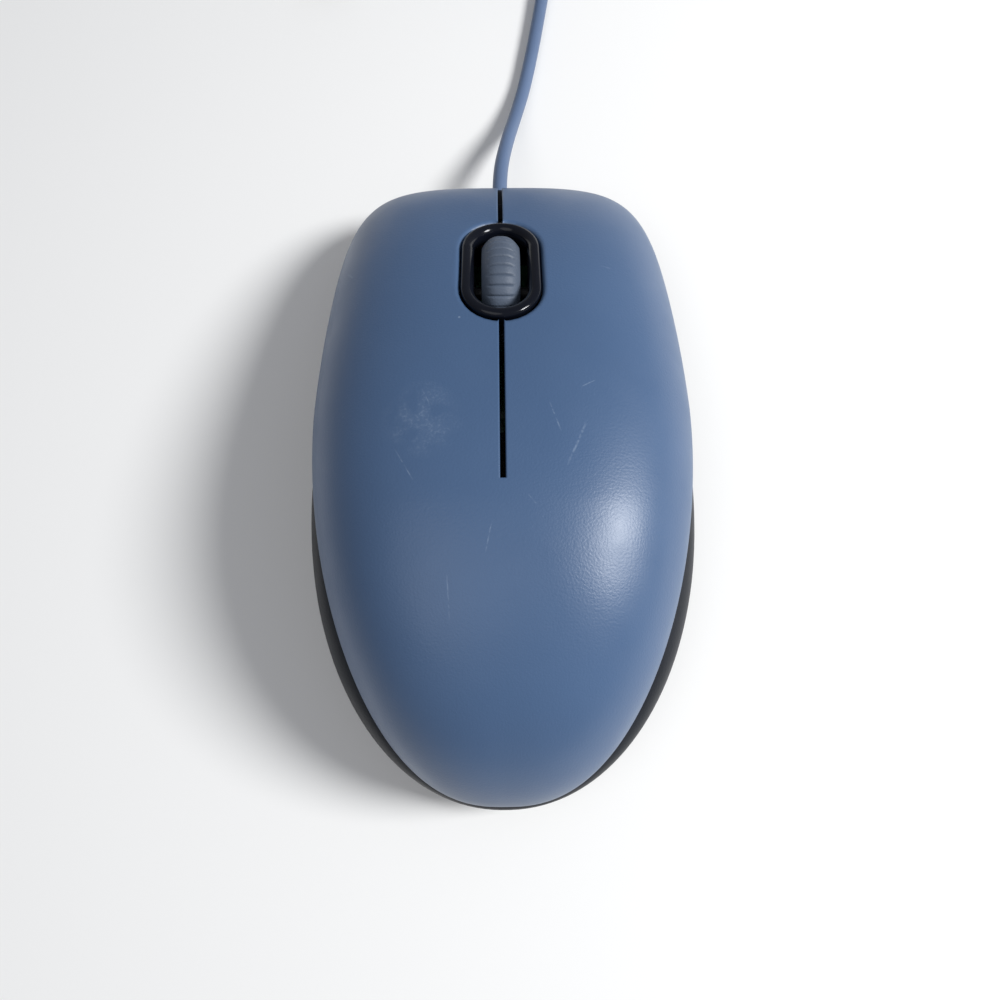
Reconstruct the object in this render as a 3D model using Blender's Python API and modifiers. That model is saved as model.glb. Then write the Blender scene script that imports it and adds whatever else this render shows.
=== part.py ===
# A wired optical mouse, in metres. +Y is the front (cord end), +X the right, +Z up.
# The origin is on the table, under the middle of the body.
import math

import bmesh
import bpy
from mathutils import Matrix, Vector

# Overall size of the body
BODY_LENGTH = 0.112
BODY_WIDTH = 0.064
BODY_HEIGHT = 0.038

# Outline of the two shells, seen from above
COVER_WIDTH = 0.0624
COVER_REAR_INSET = 0.001
BASE_FRONT_INSET = 0.0002
COVER_WIDEST_Y = 0.008
BASE_WIDEST_Y = -0.003
COVER_FRONT_TAPER = 0.13
BASE_FRONT_TAPER = 0.14
NOSE_SQUARENESS = 7.0
NOSE_POWER = 0.2
COVER_REAR_POWERS = (1.75, 2.4)
BASE_REAR_POWERS = (2.2, 2.1)

# Heights of the parting line and of the crown
PARTING_PEAK = 0.0205
PARTING_PEAK_Y = -0.018
PARTING_FRONT = 0.009
PARTING_REAR = 0.0095
CROWN_PEAK_Y = -0.012
CROWN_FRONT_POWERS = (1.5, 1.9)
CROWN_REAR_POWERS = (2.0, 2.0)
# The cover's cross-section squares up from the palm to the front
DOME_POWER = 2.5
DOME_POWER_GAIN = 0.7
DOME_SQUARING = (-0.020, 0.040)
BELLY_SHARE = 0.7
PARTING_GAP = 0.0010
RIM_TRIM = 0.0001
TUCK_IN = 0.0045
RIM_SLOPE = math.radians(30)

# Walls and general fits
COVER_WALL = 0.0018
BASE_WALL = 0.002
TOUCH_GAP = 0.0003
AROUND = 64
DOME_RINGS = 11
BASE_RIM_RINGS = 3
BASE_BELLY_RINGS = 5
ROUND_SEGMENTS = 32
FINE_SEGMENTS = 24
TYRE_SEGMENTS = 48
COIL_SEGMENTS = 40
STADIUM_STEPS = 10
ROUTE_STEPS = 24

# Feet
FOOT_THICKNESS = 0.0007
FOOT_LENGTH = 0.006
FRONT_FOOT_WIDTH = 0.026
REAR_FOOT_WIDTH = 0.030
FRONT_FOOT_Y = 0.0455
REAR_FOOT_Y = -0.040
FOOT_STEPS = 8
FLOOR_BOTTOM = FOOT_THICKNESS + TOUCH_GAP
FLOOR_TOP = FLOOR_BOTTOM + BASE_WALL

# Buttons
HINGE_Y = -0.009
HINGE_Z = 0.030
HINGE_GAP = 0.0004
BUTTON_ANGLE = math.radians(0.5)
SLOT_WIDTH = 0.001
RIB_SIZE = 0.003
RIB_ROOT = 0.0012

# Wheel and the stadium-shaped bezel around it
WHEEL_Y = 0.0276
WHEEL_Z = 0.0226
WHEEL_RADIUS = 0.0092
WHEEL_WIDTH = 0.0062
TYRE_DEPTH = 0.0022
TREAD_CROWN = 0.0003
TREAD_SHOULDER = 0.0011
AXLE_RADIUS = 0.001
COLLAR_RADIUS = 0.0022
HUB_RIM = 0.0015
HUB_RECESS = 0.002
HEX_CLEARANCE = 0.0002
BEZEL_Y = 0.02835
BEZEL_WIDTH = 0.0132
BEZEL_LENGTH = 0.0217
BEZEL_INNER_WIDTH = 0.0087
BEZEL_INNER_LENGTH = 0.0174
BEZEL_DEPTH = 0.0045
BEZEL_LIP = 0.0017
BEZEL_SKIRT_SHARE = 0.4
BEZEL_LEG = 0.0014
BEZEL_CLEARANCE = 0.0003
BEZEL_UNDERCUT = 0.0006
# The bezel's top, as (share from the outer to the inner outline, height over the crown)
BEZEL_TOP = [
    (0.0, -0.0002),
    (0.10, 0.0003),
    (0.35, 0.0006),
    (0.65, 0.0004),
    (0.90, -0.0004),
    (1.0, -0.0012),
]

# Circuit board and what stands on it
BOARD_BOTTOM = 0.006
BOARD_THICKNESS = 0.0016
BOARD_WIDTH = 0.044
BOARD_FRONT = 0.042
BOARD_REAR = -0.020
BOARD_CORNER = 0.005
BOARD_TOP = BOARD_BOTTOM + BOARD_THICKNESS
ON_BOARD = BOARD_TOP + TOUCH_GAP
POST_RADIUS = 0.0022
SWITCH_X = 0.017
SWITCH_SIZE = Vector((0.0058, 0.0128, 0.0065))
PLUNGER_Y = 0.038
PLUNGER_SIZE = Vector((0.0028, 0.0016, 0.0036))
PLUNGER_RISE = 0.0012
PLUNGER_CLEARANCE = 0.0002
ENCODER_SIZE = Vector((0.005, 0.0074, 0.0173))
ENCODER_X = -0.0100
ROTOR_RADIUS = 0.0019
ROTOR_CLEARANCE = 0.0002
MIDDLE_SWITCH_X = 0.0108
MIDDLE_SWITCH_SIZE = Vector((0.0056, 0.0056, 0.0038))
STEM_RADIUS = 0.0017
STEM_CLEARANCE = 0.0004
STEM_DEPTH = 0.0016
CAPACITOR_PLACE = (0.0115, -0.012)
CAPACITOR_RADIUS = 0.0025
CAPACITOR_HEIGHT = 0.007
CAPACITOR_SHOULDER = 0.0004
CRYSTAL_PLACE = (-0.012, -0.011)
CRYSTAL_SIZE = Vector((0.0045, 0.0105, 0.0035))
CRYSTAL_ROUND = 0.0008

# Optics
SENSOR_Y = 0.002
SENSOR_SIZE = Vector((0.0091, 0.0099, 0.003))
LENS_WIDTH = 0.018
LENS_REAR = -0.0105
LENS_FRONT = 0.0085
LENS_PLATE = 0.001
LENS_BARREL_RADIUS = 0.0032
LENS_CLEARANCE = 0.0004
WINDOW_SIZE = Vector((0.010, 0.012))
GUIDE_SIZE = Vector((0.0044, 0.0034))
GUIDE_Y = -0.0075
LED_RADIUS = 0.0025
LED_LENGTH = 0.0086
LED_REAR = -0.0185
LED_TIP_STEPS = 6
LED_CLIP_REAR = 0.0015
LED_CLIP_FRONT = 0.0065
LED_CLIP_WALL = 0.001
LED_CLEARANCE = 0.0003

# Fastening screw
SCREW_HEAD_RADIUS = 0.0022
SCREW_HEAD_HEIGHT = 0.0022
SCREW_SHANK_RADIUS = 0.001
SCREW_TIP_Z = 0.018
BOSS_WALL = 0.0013
BOSS_TOP = 0.0098
SCREW_SEAT = 0.0065
SCREW_POINT = 0.0015
DRIVER_SLOT = 0.0006
DRIVER_DEPTH = 0.0012

# Cord
CORD_DIAMETER = 0.0028
CORD_Z = 0.0104
CORD_INNER_END = 0.0480
CORD_SPACING = 2.2 * CORD_DIAMETER
NOTCH_CLEARANCE = 0.0003
GROMMET_SIZE = Vector((0.007, 0.0034, 0.0056))
GROMMET_REAR = 0.0483
WIRE_DIAMETER = 0.0006
WIRE_BEND = 0.0015
HEADER_SIZE = Vector((0.0062, 0.0034, 0.0046))
HEADER_X = -0.0097
HEADER_REAR = 0.0362
HEADER_WALL = 0.0007
PLUG_CONNECTOR_FRONT = 0.042
COIL_CENTRE = Vector((-0.006, 0.146))
COIL_RADIUS = 0.017
COIL_SECTION = 0.0114
COIL_CORNER_STEPS = 2
TIE_THICKNESS = 0.0006
TIE_WIDTH = 0.004
COIL_BOTTOM = TIE_THICKNESS + TOUCH_GAP
COIL_CORD_Z = COIL_BOTTOM + CORD_DIAMETER / 2

# Plug
PLUG_X = -0.039
PLUG_REAR_Y = 0.1545
GRIP_SIZE = Vector((0.0155, 0.026, 0.008))
SHELL_SIZE = Vector((0.012, 0.0172, 0.0045))
SHELL_WALL = 0.0003
SHELL_INSERT = 0.0052
SHELL_WINDOW_X = 0.0028
SHELL_WINDOW_SIZE = 0.0022
SHELL_WINDOW_Y = 0.0045
GRIP_ROUND = 0.0012
TONGUE_THICKNESS = 0.0018
TONGUE_RECESS = 0.0006
CONTACT_PITCH = 0.0021
CONTACT_WIDTH = 0.001
CONTACT_THICKNESS = 0.0002
CONTACT_GAP = 0.0001
CONTACT_FRONT = 0.0014
CONTACT_REAR = 0.004

# Label
LABEL_LOW = Vector((-0.014, -0.031))
LABEL_HIGH = Vector((0.014, -0.015))
LABEL_THICKNESS = 0.0002
LABEL_GAP = 0.0002

# Points that the cord runs through, by hand, from the gland to the coil
CORD_ROUTE = [
    (0.0000, 0.0480, 0.0104),
    (0.0000, 0.0560, 0.0104),
    (0.0004, 0.0625, 0.0097),
    (0.0016, 0.0705, 0.0068),
    (0.0033, 0.0790, 0.0034),
    (0.0054, 0.0880, 0.0017),
    (0.0075, 0.0985, 0.0015),
    (0.0099, 0.1125, 0.0016),
    (0.0112, 0.1215, 0.0020),
    (0.0113, 0.12873, 0.0023),
]
# and from the coil to the plug
TAIL_ROUTE = [
    (-0.0163, 0.1681, 0.0090),
    (-0.0225, 0.1702, 0.0082),
    (-0.0300, 0.1700, 0.0064),
    (-0.0362, 0.1660, 0.0048),
    (-0.0387, 0.1605, 0.0041),
    (-0.0390, 0.1548, 0.0040),
]

for item in list(bpy.data.objects):
    bpy.data.objects.remove(item)

PARTS = bpy.data.collections.new("computer_mouse")
CUTTERS = bpy.data.collections.new("cutters")
bpy.context.scene.collection.children.link(PARTS)
bpy.context.scene.collection.children.link(CUTTERS)


# ---- Making objects -------------------------------------------------------------

def material(name, colour, roughness=0.5, metallic=0.0):
    made = bpy.data.materials.new(name)
    made.use_nodes = True
    shader = made.node_tree.nodes["Principled BSDF"]
    shader.inputs["Base Color"].default_value = (*colour, 1.0)
    shader.inputs["Roughness"].default_value = roughness
    shader.inputs["Metallic"].default_value = metallic
    made.diffuse_color = (*colour, 1.0)
    return made


def new_object(name, mesh, look=None):
    """An object for a part, or a hidden cutter if it has no look."""
    made = bpy.data.objects.new(name, mesh)
    if look:
        mesh.materials.append(look)
        PARTS.objects.link(made)
    else:
        CUTTERS.objects.link(made)
        made.hide_render = True
        made.display_type = "WIRE"
    return made


def from_bmesh(name, shape, look=None):
    mesh = bpy.data.meshes.new(name)
    bmesh.ops.recalc_face_normals(shape, faces=shape.faces)
    shape.to_mesh(mesh)
    shape.free()
    return new_object(name, mesh, look)


def box(name, low, high, look=None, bevel=0.0):
    low, high = Vector(low), Vector(high)
    shape = bmesh.new()
    bmesh.ops.create_cube(shape, size=1.0)
    bmesh.ops.scale(shape, vec=high - low, verts=shape.verts)
    bmesh.ops.translate(shape, vec=(low + high) / 2, verts=shape.verts)
    made = from_bmesh(name, shape, look)
    if bevel:
        add_bevel(made, bevel)
    return made


def centred_box(name, centre, size, look=None, bevel=0.0):
    """A box given by the middle of its bottom face."""
    low = Vector(centre) - Vector((size[0] / 2, size[1] / 2, 0))
    return box(name, low, low + Vector(size), look, bevel)


def cylinder(name, start, end, radius, look=None, segments=ROUND_SEGMENTS, end_radius=None):
    start, end = Vector(start), Vector(end)
    shape = bmesh.new()
    turn = (end - start).to_track_quat("Z", "Y").to_matrix().to_4x4()
    place = Matrix.Translation((start + end) / 2) @ turn
    bmesh.ops.create_cone(shape, cap_ends=True, segments=segments, radius1=radius,
                          radius2=radius if end_radius is None else end_radius,
                          depth=(end - start).length, matrix=place)
    return from_bmesh(name, shape, look)


def loft(name, rings, look=None, cap_first=True, cap_last=True, join_ends=False, peak=None):
    """Faces between rings of equal point count; ends capped, left open, or joined to each other.

    A last cap with a peak is a fan of triangles up to that point."""
    shape = bmesh.new()
    loops = [[shape.verts.new(point) for point in ring] for ring in rings]
    pairs = list(zip(loops, loops[1:]))
    if join_ends:
        pairs.append((loops[-1], loops[0]))
    for near, far in pairs:
        for i in range(len(near)):
            j = (i + 1) % len(near)
            shape.faces.new((near[i], near[j], far[j], far[i]))
    if cap_first and not join_ends:
        shape.faces.new(loops[0])
    if cap_last and not join_ends:
        cap = shape.faces.new(loops[-1])
        if peak:
            fan = bmesh.ops.poke(shape, faces=[cap])
            fan["verts"][0].co = peak
    return from_bmesh(name, shape, look)


def turned(name, profile, place, look=None, steps=ROUND_SEGMENTS):
    """A profile of (radius, height) points, from top to bottom, turned about its own Z."""
    mesh = bpy.data.meshes.new(name)
    points = [(radius, 0.0, height) for radius, height in profile]
    closed = profile[0] == profile[-1]
    if closed:
        points.pop()
    edges = [(i, i + 1) for i in range(len(points) - 1)]
    if closed:
        edges.append((len(points) - 1, 0))
    mesh.from_pydata(points, edges, [])
    made = new_object(name, mesh, look)
    screw = made.modifiers.new("turn", "SCREW")
    screw.steps = steps
    screw.render_steps = steps
    screw.use_merge_vertices = True
    screw.merge_threshold = 0.000005
    made.matrix_world = place
    return made


def add_bevel(part, width, segments=2):
    bevel = part.modifiers.new("round", "BEVEL")
    bevel.width = width
    bevel.segments = segments
    bevel.limit_method = "ANGLE"
    return bevel


def combine(part, other, operation):
    step = part.modifiers.new(operation.lower(), "BOOLEAN")
    step.operation = operation
    step.object = other


def cut(part, *cutters):
    for cutter in cutters:
        combine(part, cutter, "DIFFERENCE")


def join(part, *others):
    for other in others:
        combine(part, other, "UNION")


def pivot(name, place, *parts):
    """An empty on a joint's axis, with the parts that turn or slide there as its children."""
    made = bpy.data.objects.new(name, None)
    made.location = place
    PARTS.objects.link(made)
    for part in parts:
        part.parent = made
        part.matrix_parent_inverse = Matrix.Translation(place).inverted()


def smooth_points(route, spacing):
    """Evenly spaced points on a Catmull-Rom curve through the route's points."""
    ends = [2 * Vector(route[0]) - Vector(route[1]), 2 * Vector(route[-1]) - Vector(route[-2])]
    knots = [ends[0]] + [Vector(point) for point in route] + [ends[1]]
    fine = []
    for a, b, c, d in zip(knots, knots[1:], knots[2:], knots[3:]):
        for i in range(ROUTE_STEPS):
            t = i / ROUTE_STEPS
            fine.append(0.5 * (2 * b + (c - a) * t + (2 * a - 5 * b + 4 * c - d) * t * t
                               + (3 * b - a - 3 * c + d) * t ** 3))
    fine.append(knots[-2])
    reach = [0.0]
    for near, far in zip(fine, fine[1:]):
        reach.append(reach[-1] + (far - near).length)
    count = max(2, round(reach[-1] / spacing))
    points = []
    for i in range(count + 1):
        goal = reach[-1] * i / count
        k = next((k for k in range(1, len(reach)) if reach[k] >= goal - 1e-9), len(reach) - 1)
        share = (goal - reach[k - 1]) / max(reach[k] - reach[k - 1], 1e-9)
        points.append(fine[k - 1].lerp(fine[k], share))
    return points


def tube(name, route, diameter, look, spacing):
    curve = bpy.data.curves.new(name, "CURVE")
    curve.dimensions = "3D"
    curve.bevel_depth = diameter / 2
    curve.bevel_resolution = 2
    curve.use_fill_caps = True
    spline = curve.splines.new("POLY")
    points = smooth_points(route, spacing)
    spline.points.add(len(points) - 1)
    for slot, point in zip(spline.points, points):
        slot.co = (*point, 1.0)
    curve.materials.append(look)
    made = bpy.data.objects.new(name, curve)
    PARTS.objects.link(made)
    return made


# ---- The form of the body -------------------------------------------------------

def share_between(value, start, end):
    return min(max((value - start) / (end - start), 0.0), 1.0)


FRONT_Y = BODY_LENGTH / 2
REAR_Y = -BODY_LENGTH / 2


def cover_half_width(y):
    if y >= COVER_WIDEST_Y:
        t = share_between(y, COVER_WIDEST_Y, FRONT_Y)
        nose = (1 - COVER_FRONT_TAPER * t ** 2) * (1 - t ** NOSE_SQUARENESS) ** NOSE_POWER
        return COVER_WIDTH / 2 * nose
    t = share_between(y, COVER_WIDEST_Y, REAR_Y + COVER_REAR_INSET)
    power, root = COVER_REAR_POWERS
    return COVER_WIDTH / 2 * (1 - t ** power) ** (1 / root)


def base_half_width(y):
    if y >= BASE_WIDEST_Y:
        t = share_between(y, BASE_WIDEST_Y, FRONT_Y - BASE_FRONT_INSET)
        nose = (1 - BASE_FRONT_TAPER * t ** 2) * (1 - t ** NOSE_SQUARENESS) ** NOSE_POWER
        return BODY_WIDTH / 2 * nose
    t = share_between(y, BASE_WIDEST_Y, REAR_Y)
    power, root = BASE_REAR_POWERS
    return BODY_WIDTH / 2 * (1 - t ** power) ** (1 / root)


def parting_height(y):
    if y >= PARTING_PEAK_Y:
        t = share_between(y, PARTING_PEAK_Y, FRONT_Y)
        return PARTING_PEAK - (PARTING_PEAK - PARTING_FRONT) * math.sin(math.pi / 2 * t) ** 2
    t = share_between(y, PARTING_PEAK_Y, REAR_Y)
    return PARTING_PEAK - (PARTING_PEAK - PARTING_REAR) * t ** 2


def crown_height(y):
    if y >= CROWN_PEAK_Y:
        t = share_between(y, CROWN_PEAK_Y, FRONT_Y)
        power, root = CROWN_FRONT_POWERS
        return PARTING_FRONT + (BODY_HEIGHT - PARTING_FRONT) * (1 - t ** power) ** (1 / root)
    t = share_between(y, CROWN_PEAK_Y, REAR_Y + COVER_REAR_INSET)
    power, root = CROWN_REAR_POWERS
    return PARTING_REAR + (BODY_HEIGHT - PARTING_REAR) * (1 - t ** power) ** (1 / root)


def dome_height(x, y):
    half = max(cover_half_width(y), 1e-6)
    power = DOME_POWER + DOME_POWER_GAIN * share_between(y, *DOME_SQUARING)
    side = 1 - min(abs(x) / half, 1.0) ** power
    rise = max(crown_height(y) - parting_height(y), 0.0)
    return parting_height(y) + rise * side ** 0.5


def outline(half_width, rear, front):
    """Points around an outline, closer together at its two ends."""
    points = []
    for i in range(AROUND):
        turn = 2 * math.pi * (i + 0.5) / AROUND
        y = rear + (front - rear) * (0.5 - 0.5 * math.cos(turn))
        points.append(Vector((math.copysign(half_width(y), math.sin(turn)), y)))
    return points


COVER_OUTLINE = outline(cover_half_width, REAR_Y + COVER_REAR_INSET, FRONT_Y)
BASE_OUTLINE = outline(base_half_width, REAR_Y, FRONT_Y - BASE_FRONT_INSET)


def button_travel(y):
    """How far a pressed button drops at a distance along the body."""
    return max(y - HINGE_Y, 0.0) * math.tan(BUTTON_ANGLE)


def rim_height(y):
    """Top of the base's rim, which leaves room for a pressed button."""
    return parting_height(y) - PARTING_GAP - button_travel(y)


def inset(points, distance):
    """The outline moved inwards along its own normals."""
    moved = []
    for i, point in enumerate(points):
        along = points[(i + 1) % len(points)] - points[i - 1]
        inward = Vector((-along.y, along.x)).normalized()
        if inward.dot(point) > 0:
            inward = -inward
        moved.append(point + inward * distance)
    return moved


# ---- Materials ------------------------------------------------------------------

COVER_PLASTIC = material("cover_plastic", (0.085, 0.150, 0.262), 0.42)
BASE_PLASTIC = material("base_plastic", (0.016, 0.018, 0.024), 0.45)
GLOSS_BLACK = material("gloss_black", (0.004, 0.005, 0.008), 0.12)
RUBBER = material("wheel_rubber", (0.055, 0.075, 0.110), 0.75)
HUB_PLASTIC = material("hub_plastic", (0.02, 0.02, 0.022), 0.5)
CORD_JACKET = material("cord_jacket", (0.26, 0.36, 0.55), 0.5)
BOARD_GREEN = material("board_laminate", (0.03, 0.16, 0.06), 0.45)
SWITCH_BLACK = material("switch_black", (0.015, 0.015, 0.015), 0.4)
SWITCH_WHITE = material("switch_white", (0.75, 0.75, 0.72), 0.45)
SWITCH_RED = material("switch_red", (0.5, 0.03, 0.02), 0.4)
ENCODER_GREY = material("encoder_grey", (0.12, 0.12, 0.13), 0.5)
CLEAR_PLASTIC = material("clear_plastic", (0.8, 0.85, 0.88), 0.05)
LED_RED = material("led_red", (0.7, 0.05, 0.04), 0.1)
STEEL = material("steel", (0.6, 0.6, 0.62), 0.3, 1.0)
GOLD = material("gold", (0.85, 0.6, 0.2), 0.25, 1.0)
SLICK_FOOT = material("slick_foot", (0.02, 0.02, 0.02), 0.3)
LABEL_PAPER = material("label_paper", (0.35, 0.36, 0.38), 0.5)
CAN_BLUE = material("capacitor_sleeve", (0.02, 0.03, 0.09), 0.35)
WIRE_LOOKS = [
    material("wire_red", (0.5, 0.02, 0.02), 0.45),
    material("wire_white", (0.7, 0.7, 0.68), 0.45),
    material("wire_green", (0.02, 0.3, 0.06), 0.45),
    material("wire_black", (0.015, 0.015, 0.015), 0.45),
]


# ---- Base shell -----------------------------------------------------------------

def base_ring(share_out, rise):
    """A ring between the belly, the widest line, and the rim under the cover."""
    ring = []
    for near, far in zip(COVER_OUTLINE, BASE_OUTLINE):
        flat = near.lerp(far, share_out)
        belly = BELLY_SHARE * parting_height(near.y)
        ring.append((flat.x, flat.y, belly + (rim_height(near.y) - belly) * rise))
    return ring


def rim_cutter():
    """Everything above the rim, as a slab across the body."""
    rear, front = REAR_Y - BASE_WALL, FRONT_Y + BASE_WALL
    rings = []
    for x in (-BODY_WIDTH, BODY_WIDTH):
        ring = [(x, front, 2 * BODY_HEIGHT), (x, rear, 2 * BODY_HEIGHT)]
        for i in range(AROUND + 1):
            y = rear + (front - rear) * i / AROUND
            ring.append((x, y, rim_height(y) - RIM_TRIM))
        rings.append(ring)
    return loft("rim_cutter", rings)


def make_base_shell():
    rings = []
    start = math.sin(RIM_SLOPE)
    for i in range(BASE_RIM_RINGS):
        turn = RIM_SLOPE + (math.pi / 2 - RIM_SLOPE) * i / BASE_RIM_RINGS
        rise = math.cos(turn) / math.cos(RIM_SLOPE)
        rings.append(base_ring((math.sin(turn) - start) / (1 - start), rise))
    for i in range(BASE_BELLY_RINGS + 1):
        turn = math.pi / 2 * i / BASE_BELLY_RINGS
        drop = math.sin(turn)
        pulled = inset(BASE_OUTLINE, TUCK_IN * (1 - math.cos(turn)))
        ring = []
        for near, flat in zip(COVER_OUTLINE, pulled):
            belly = BELLY_SHARE * parting_height(near.y)
            ring.append((flat.x, flat.y, belly + (FLOOR_BOTTOM - belly) * drop))
        rings.append(ring)
    shell = loft("base_shell", rings, BASE_PLASTIC, cap_first=False)
    wall = shell.modifiers.new("wall", "SOLIDIFY")
    wall.thickness = BASE_WALL
    wall.offset = -1
    wall.use_even_offset = False
    cut(shell, rim_cutter())

    sunk = FLOOR_TOP - TOUCH_GAP
    for i, (x, y) in enumerate(BOARD_POSTS):
        top = (x, y, BOARD_BOTTOM - TOUCH_GAP)
        join(shell, cylinder(f"board_post_{i}", (x, y, sunk), top, POST_RADIUS, segments=FINE_SEGMENTS))
    head_room = SCREW_HEAD_RADIUS + TOUCH_GAP
    boss = cylinder("base_boss", (0, REAR_FOOT_Y, sunk), (0, REAR_FOOT_Y, BOSS_TOP),
                    head_room + BOSS_WALL)
    pedestal_top = CORD_Z - GROMMET_SIZE.z / 2 - TOUCH_GAP
    middle = GROMMET_REAR + GROMMET_SIZE.y / 2
    pedestal = box("grommet_pedestal",
                   (-GROMMET_SIZE.x / 2, middle - GROMMET_SIZE.y / 2, sunk),
                   (GROMMET_SIZE.x / 2, middle + GROMMET_SIZE.y / 2, pedestal_top))
    join(shell, boss, pedestal)
    below = (0, REAR_FOOT_Y, FLOOR_BOTTOM - TOUCH_GAP)
    seat = (0, REAR_FOOT_Y, SCREW_SEAT)
    above = (0, REAR_FOOT_Y, BOSS_TOP + TOUCH_GAP)
    counterbore = cylinder("counterbore", below, seat, head_room)
    clear_hole = cylinder("screw_hole", below, above, SCREW_SHANK_RADIUS + TOUCH_GAP,
                          segments=FINE_SEGMENTS)
    half = WINDOW_SIZE / 2
    window = box("sensor_window", (-half.x, SENSOR_Y - half.y, FLOOR_BOTTOM - TOUCH_GAP),
                 (half.x, SENSOR_Y + half.y, FLOOR_TOP + TOUCH_GAP))
    cut(shell, counterbore, clear_hole, window)


BOARD_POSTS = [
    (-BOARD_WIDTH / 2 + 2 * POST_RADIUS, BOARD_REAR + 2 * POST_RADIUS),
    (BOARD_WIDTH / 2 - 2 * POST_RADIUS, BOARD_REAR + 2 * POST_RADIUS),
    (-BOARD_WIDTH / 2 + 2 * POST_RADIUS, BOARD_FRONT - 3 * POST_RADIUS),
    (BOARD_WIDTH / 2 - 2 * POST_RADIUS, BOARD_FRONT - 3 * POST_RADIUS),
]
make_base_shell()


# ---- Cover: palm piece and the two buttons --------------------------------------

def cover_shell(name):
    """The whole moulded cover, which the three pieces are each taken from."""
    middle = (FRONT_Y + REAR_Y) / 2
    rings = []
    for i in range(DOME_RINGS):
        share = math.cos(math.pi / 2 * i / DOME_RINGS)
        ring = []
        for point in COVER_OUTLINE:
            x = point.x * share
            y = middle + (point.y - middle) * share
            ring.append((x, y, dome_height(x, y)))
        rings.append(ring)
    peak = (0, middle, dome_height(0, middle))
    shell = loft(name, rings, COVER_PLASTIC, cap_first=False, peak=peak)
    wall = shell.modifiers.new("wall", "SOLIDIFY")
    wall.thickness = COVER_WALL
    wall.offset = -1
    return shell


def stadium(width, length):
    """Outline of a slot with round ends, around the bezel's middle."""
    radius = width / 2
    straight = (length - width) / 2
    points = []
    for end, shift in ((1, straight), (-1, -straight)):
        for i in range(STADIUM_STEPS + 1):
            turn = math.pi * i / STADIUM_STEPS
            points.append((end * radius * math.cos(turn),
                           BEZEL_Y + shift + end * radius * math.sin(turn)))
    return points


def make_palm():
    palm = cover_shell("palm_cover")
    front = box("front_half", (-BODY_WIDTH, HINGE_Y - HINGE_GAP / 2, 0),
                (BODY_WIDTH, BODY_LENGTH, 2 * BODY_HEIGHT))
    cut(palm, front)
    boss_radius = SCREW_HEAD_RADIUS + BOSS_WALL / 2
    top = (0, REAR_FOOT_Y, dome_height(0, REAR_FOOT_Y - boss_radius) - COVER_WALL / 2)
    foot = (0, REAR_FOOT_Y, BOSS_TOP + TOUCH_GAP)
    join(palm, cylinder("cover_boss", foot, top, boss_radius))
    below = (0, REAR_FOOT_Y, BOSS_TOP)
    tip = (0, REAR_FOOT_Y, SCREW_TIP_Z + 2 * TOUCH_GAP)
    cut(palm, cylinder("thread_hole", below, tip, SCREW_SHANK_RADIUS + TOUCH_GAP,
                       segments=FINE_SEGMENTS))


def make_button(name, side):
    button = cover_shell(name)
    high = 2 * BODY_HEIGHT
    inner, outer = sorted((side * SLOT_WIDTH / 2, side * BODY_WIDTH))
    region = box(name + "_region", (inner, HINGE_Y + HINGE_GAP / 2, 0), (outer, BODY_LENGTH, high))
    combine(button, region, "INTERSECT")

    rings = []
    gap = 2 * BEZEL_CLEARANCE
    for z in (0.0, high):
        rings.append([(x, y, z) for x, y in stadium(BEZEL_WIDTH + gap, BEZEL_LENGTH + gap)])
    bezel_hole = loft(name + "_bezel_hole", rings)
    notch_radius = CORD_DIAMETER / 2 + NOTCH_CLEARANCE
    notch = box(name + "_notch", (-notch_radius, CORD_INNER_END, 0),
                (notch_radius, BODY_LENGTH, CORD_Z + notch_radius + button_travel(FRONT_Y)))
    cut(button, bezel_hole, notch)

    x = side * SWITCH_X
    top = dome_height(x, PLUNGER_Y) - RIB_ROOT
    rib = box(name + "_rib", (x - RIB_SIZE / 2, PLUNGER_Y - RIB_SIZE / 2, RIB_BOTTOM),
              (x + RIB_SIZE / 2, PLUNGER_Y + RIB_SIZE / 2, top))
    join(button, rib)
    pivot(name + "_hinge", (x, HINGE_Y, HINGE_Z), button)


SWITCH_TOP = ON_BOARD + SWITCH_SIZE.z
RIB_BOTTOM = SWITCH_TOP + PLUNGER_RISE + TOUCH_GAP
make_palm()
make_button("left_button", -1)
make_button("right_button", 1)


# ---- Bezel ----------------------------------------------------------------------

def make_bezel():
    """A ring with a rounded top that follows the crown, on four legs."""
    steps = [(0.0, -BEZEL_DEPTH), *BEZEL_TOP]
    steps += [
        (1.0, -BEZEL_LIP),
        (BEZEL_SKIRT_SHARE, -BEZEL_LIP - BEZEL_UNDERCUT),
        (BEZEL_SKIRT_SHARE, -BEZEL_DEPTH),
    ]
    outer = stadium(BEZEL_WIDTH, BEZEL_LENGTH)
    inner = stadium(BEZEL_INNER_WIDTH, BEZEL_INNER_LENGTH)
    rings = []
    for share, rise in steps:
        ring = []
        for (xo, yo), (xi, yi) in zip(outer, inner):
            ring.append((xo + (xi - xo) * share, yo + (yi - yo) * share, crown_height(yo) + rise))
        rings.append(ring)
    bezel = loft("wheel_bezel", rings, GLOSS_BLACK, join_ends=True)
    x = (BEZEL_WIDTH + BEZEL_INNER_WIDTH) / 4
    reach = (BEZEL_LENGTH - BEZEL_WIDTH) / 2
    for i, (side, end) in enumerate(((-1, -1), (1, -1), (-1, 1), (1, 1))):
        y = BEZEL_Y + end * (reach + BEZEL_LEG)
        low = Vector((side * x - BEZEL_LEG / 2, y - BEZEL_LEG, ON_BOARD))
        high = Vector((side * x + BEZEL_LEG / 2, y + BEZEL_LEG, crown_height(y) - BEZEL_DEPTH / 2))
        join(bezel, box(f"bezel_leg_{i}", low, high))


make_bezel()


# ---- Wheel, its encoder and the switch under its axle ---------------------------

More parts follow.
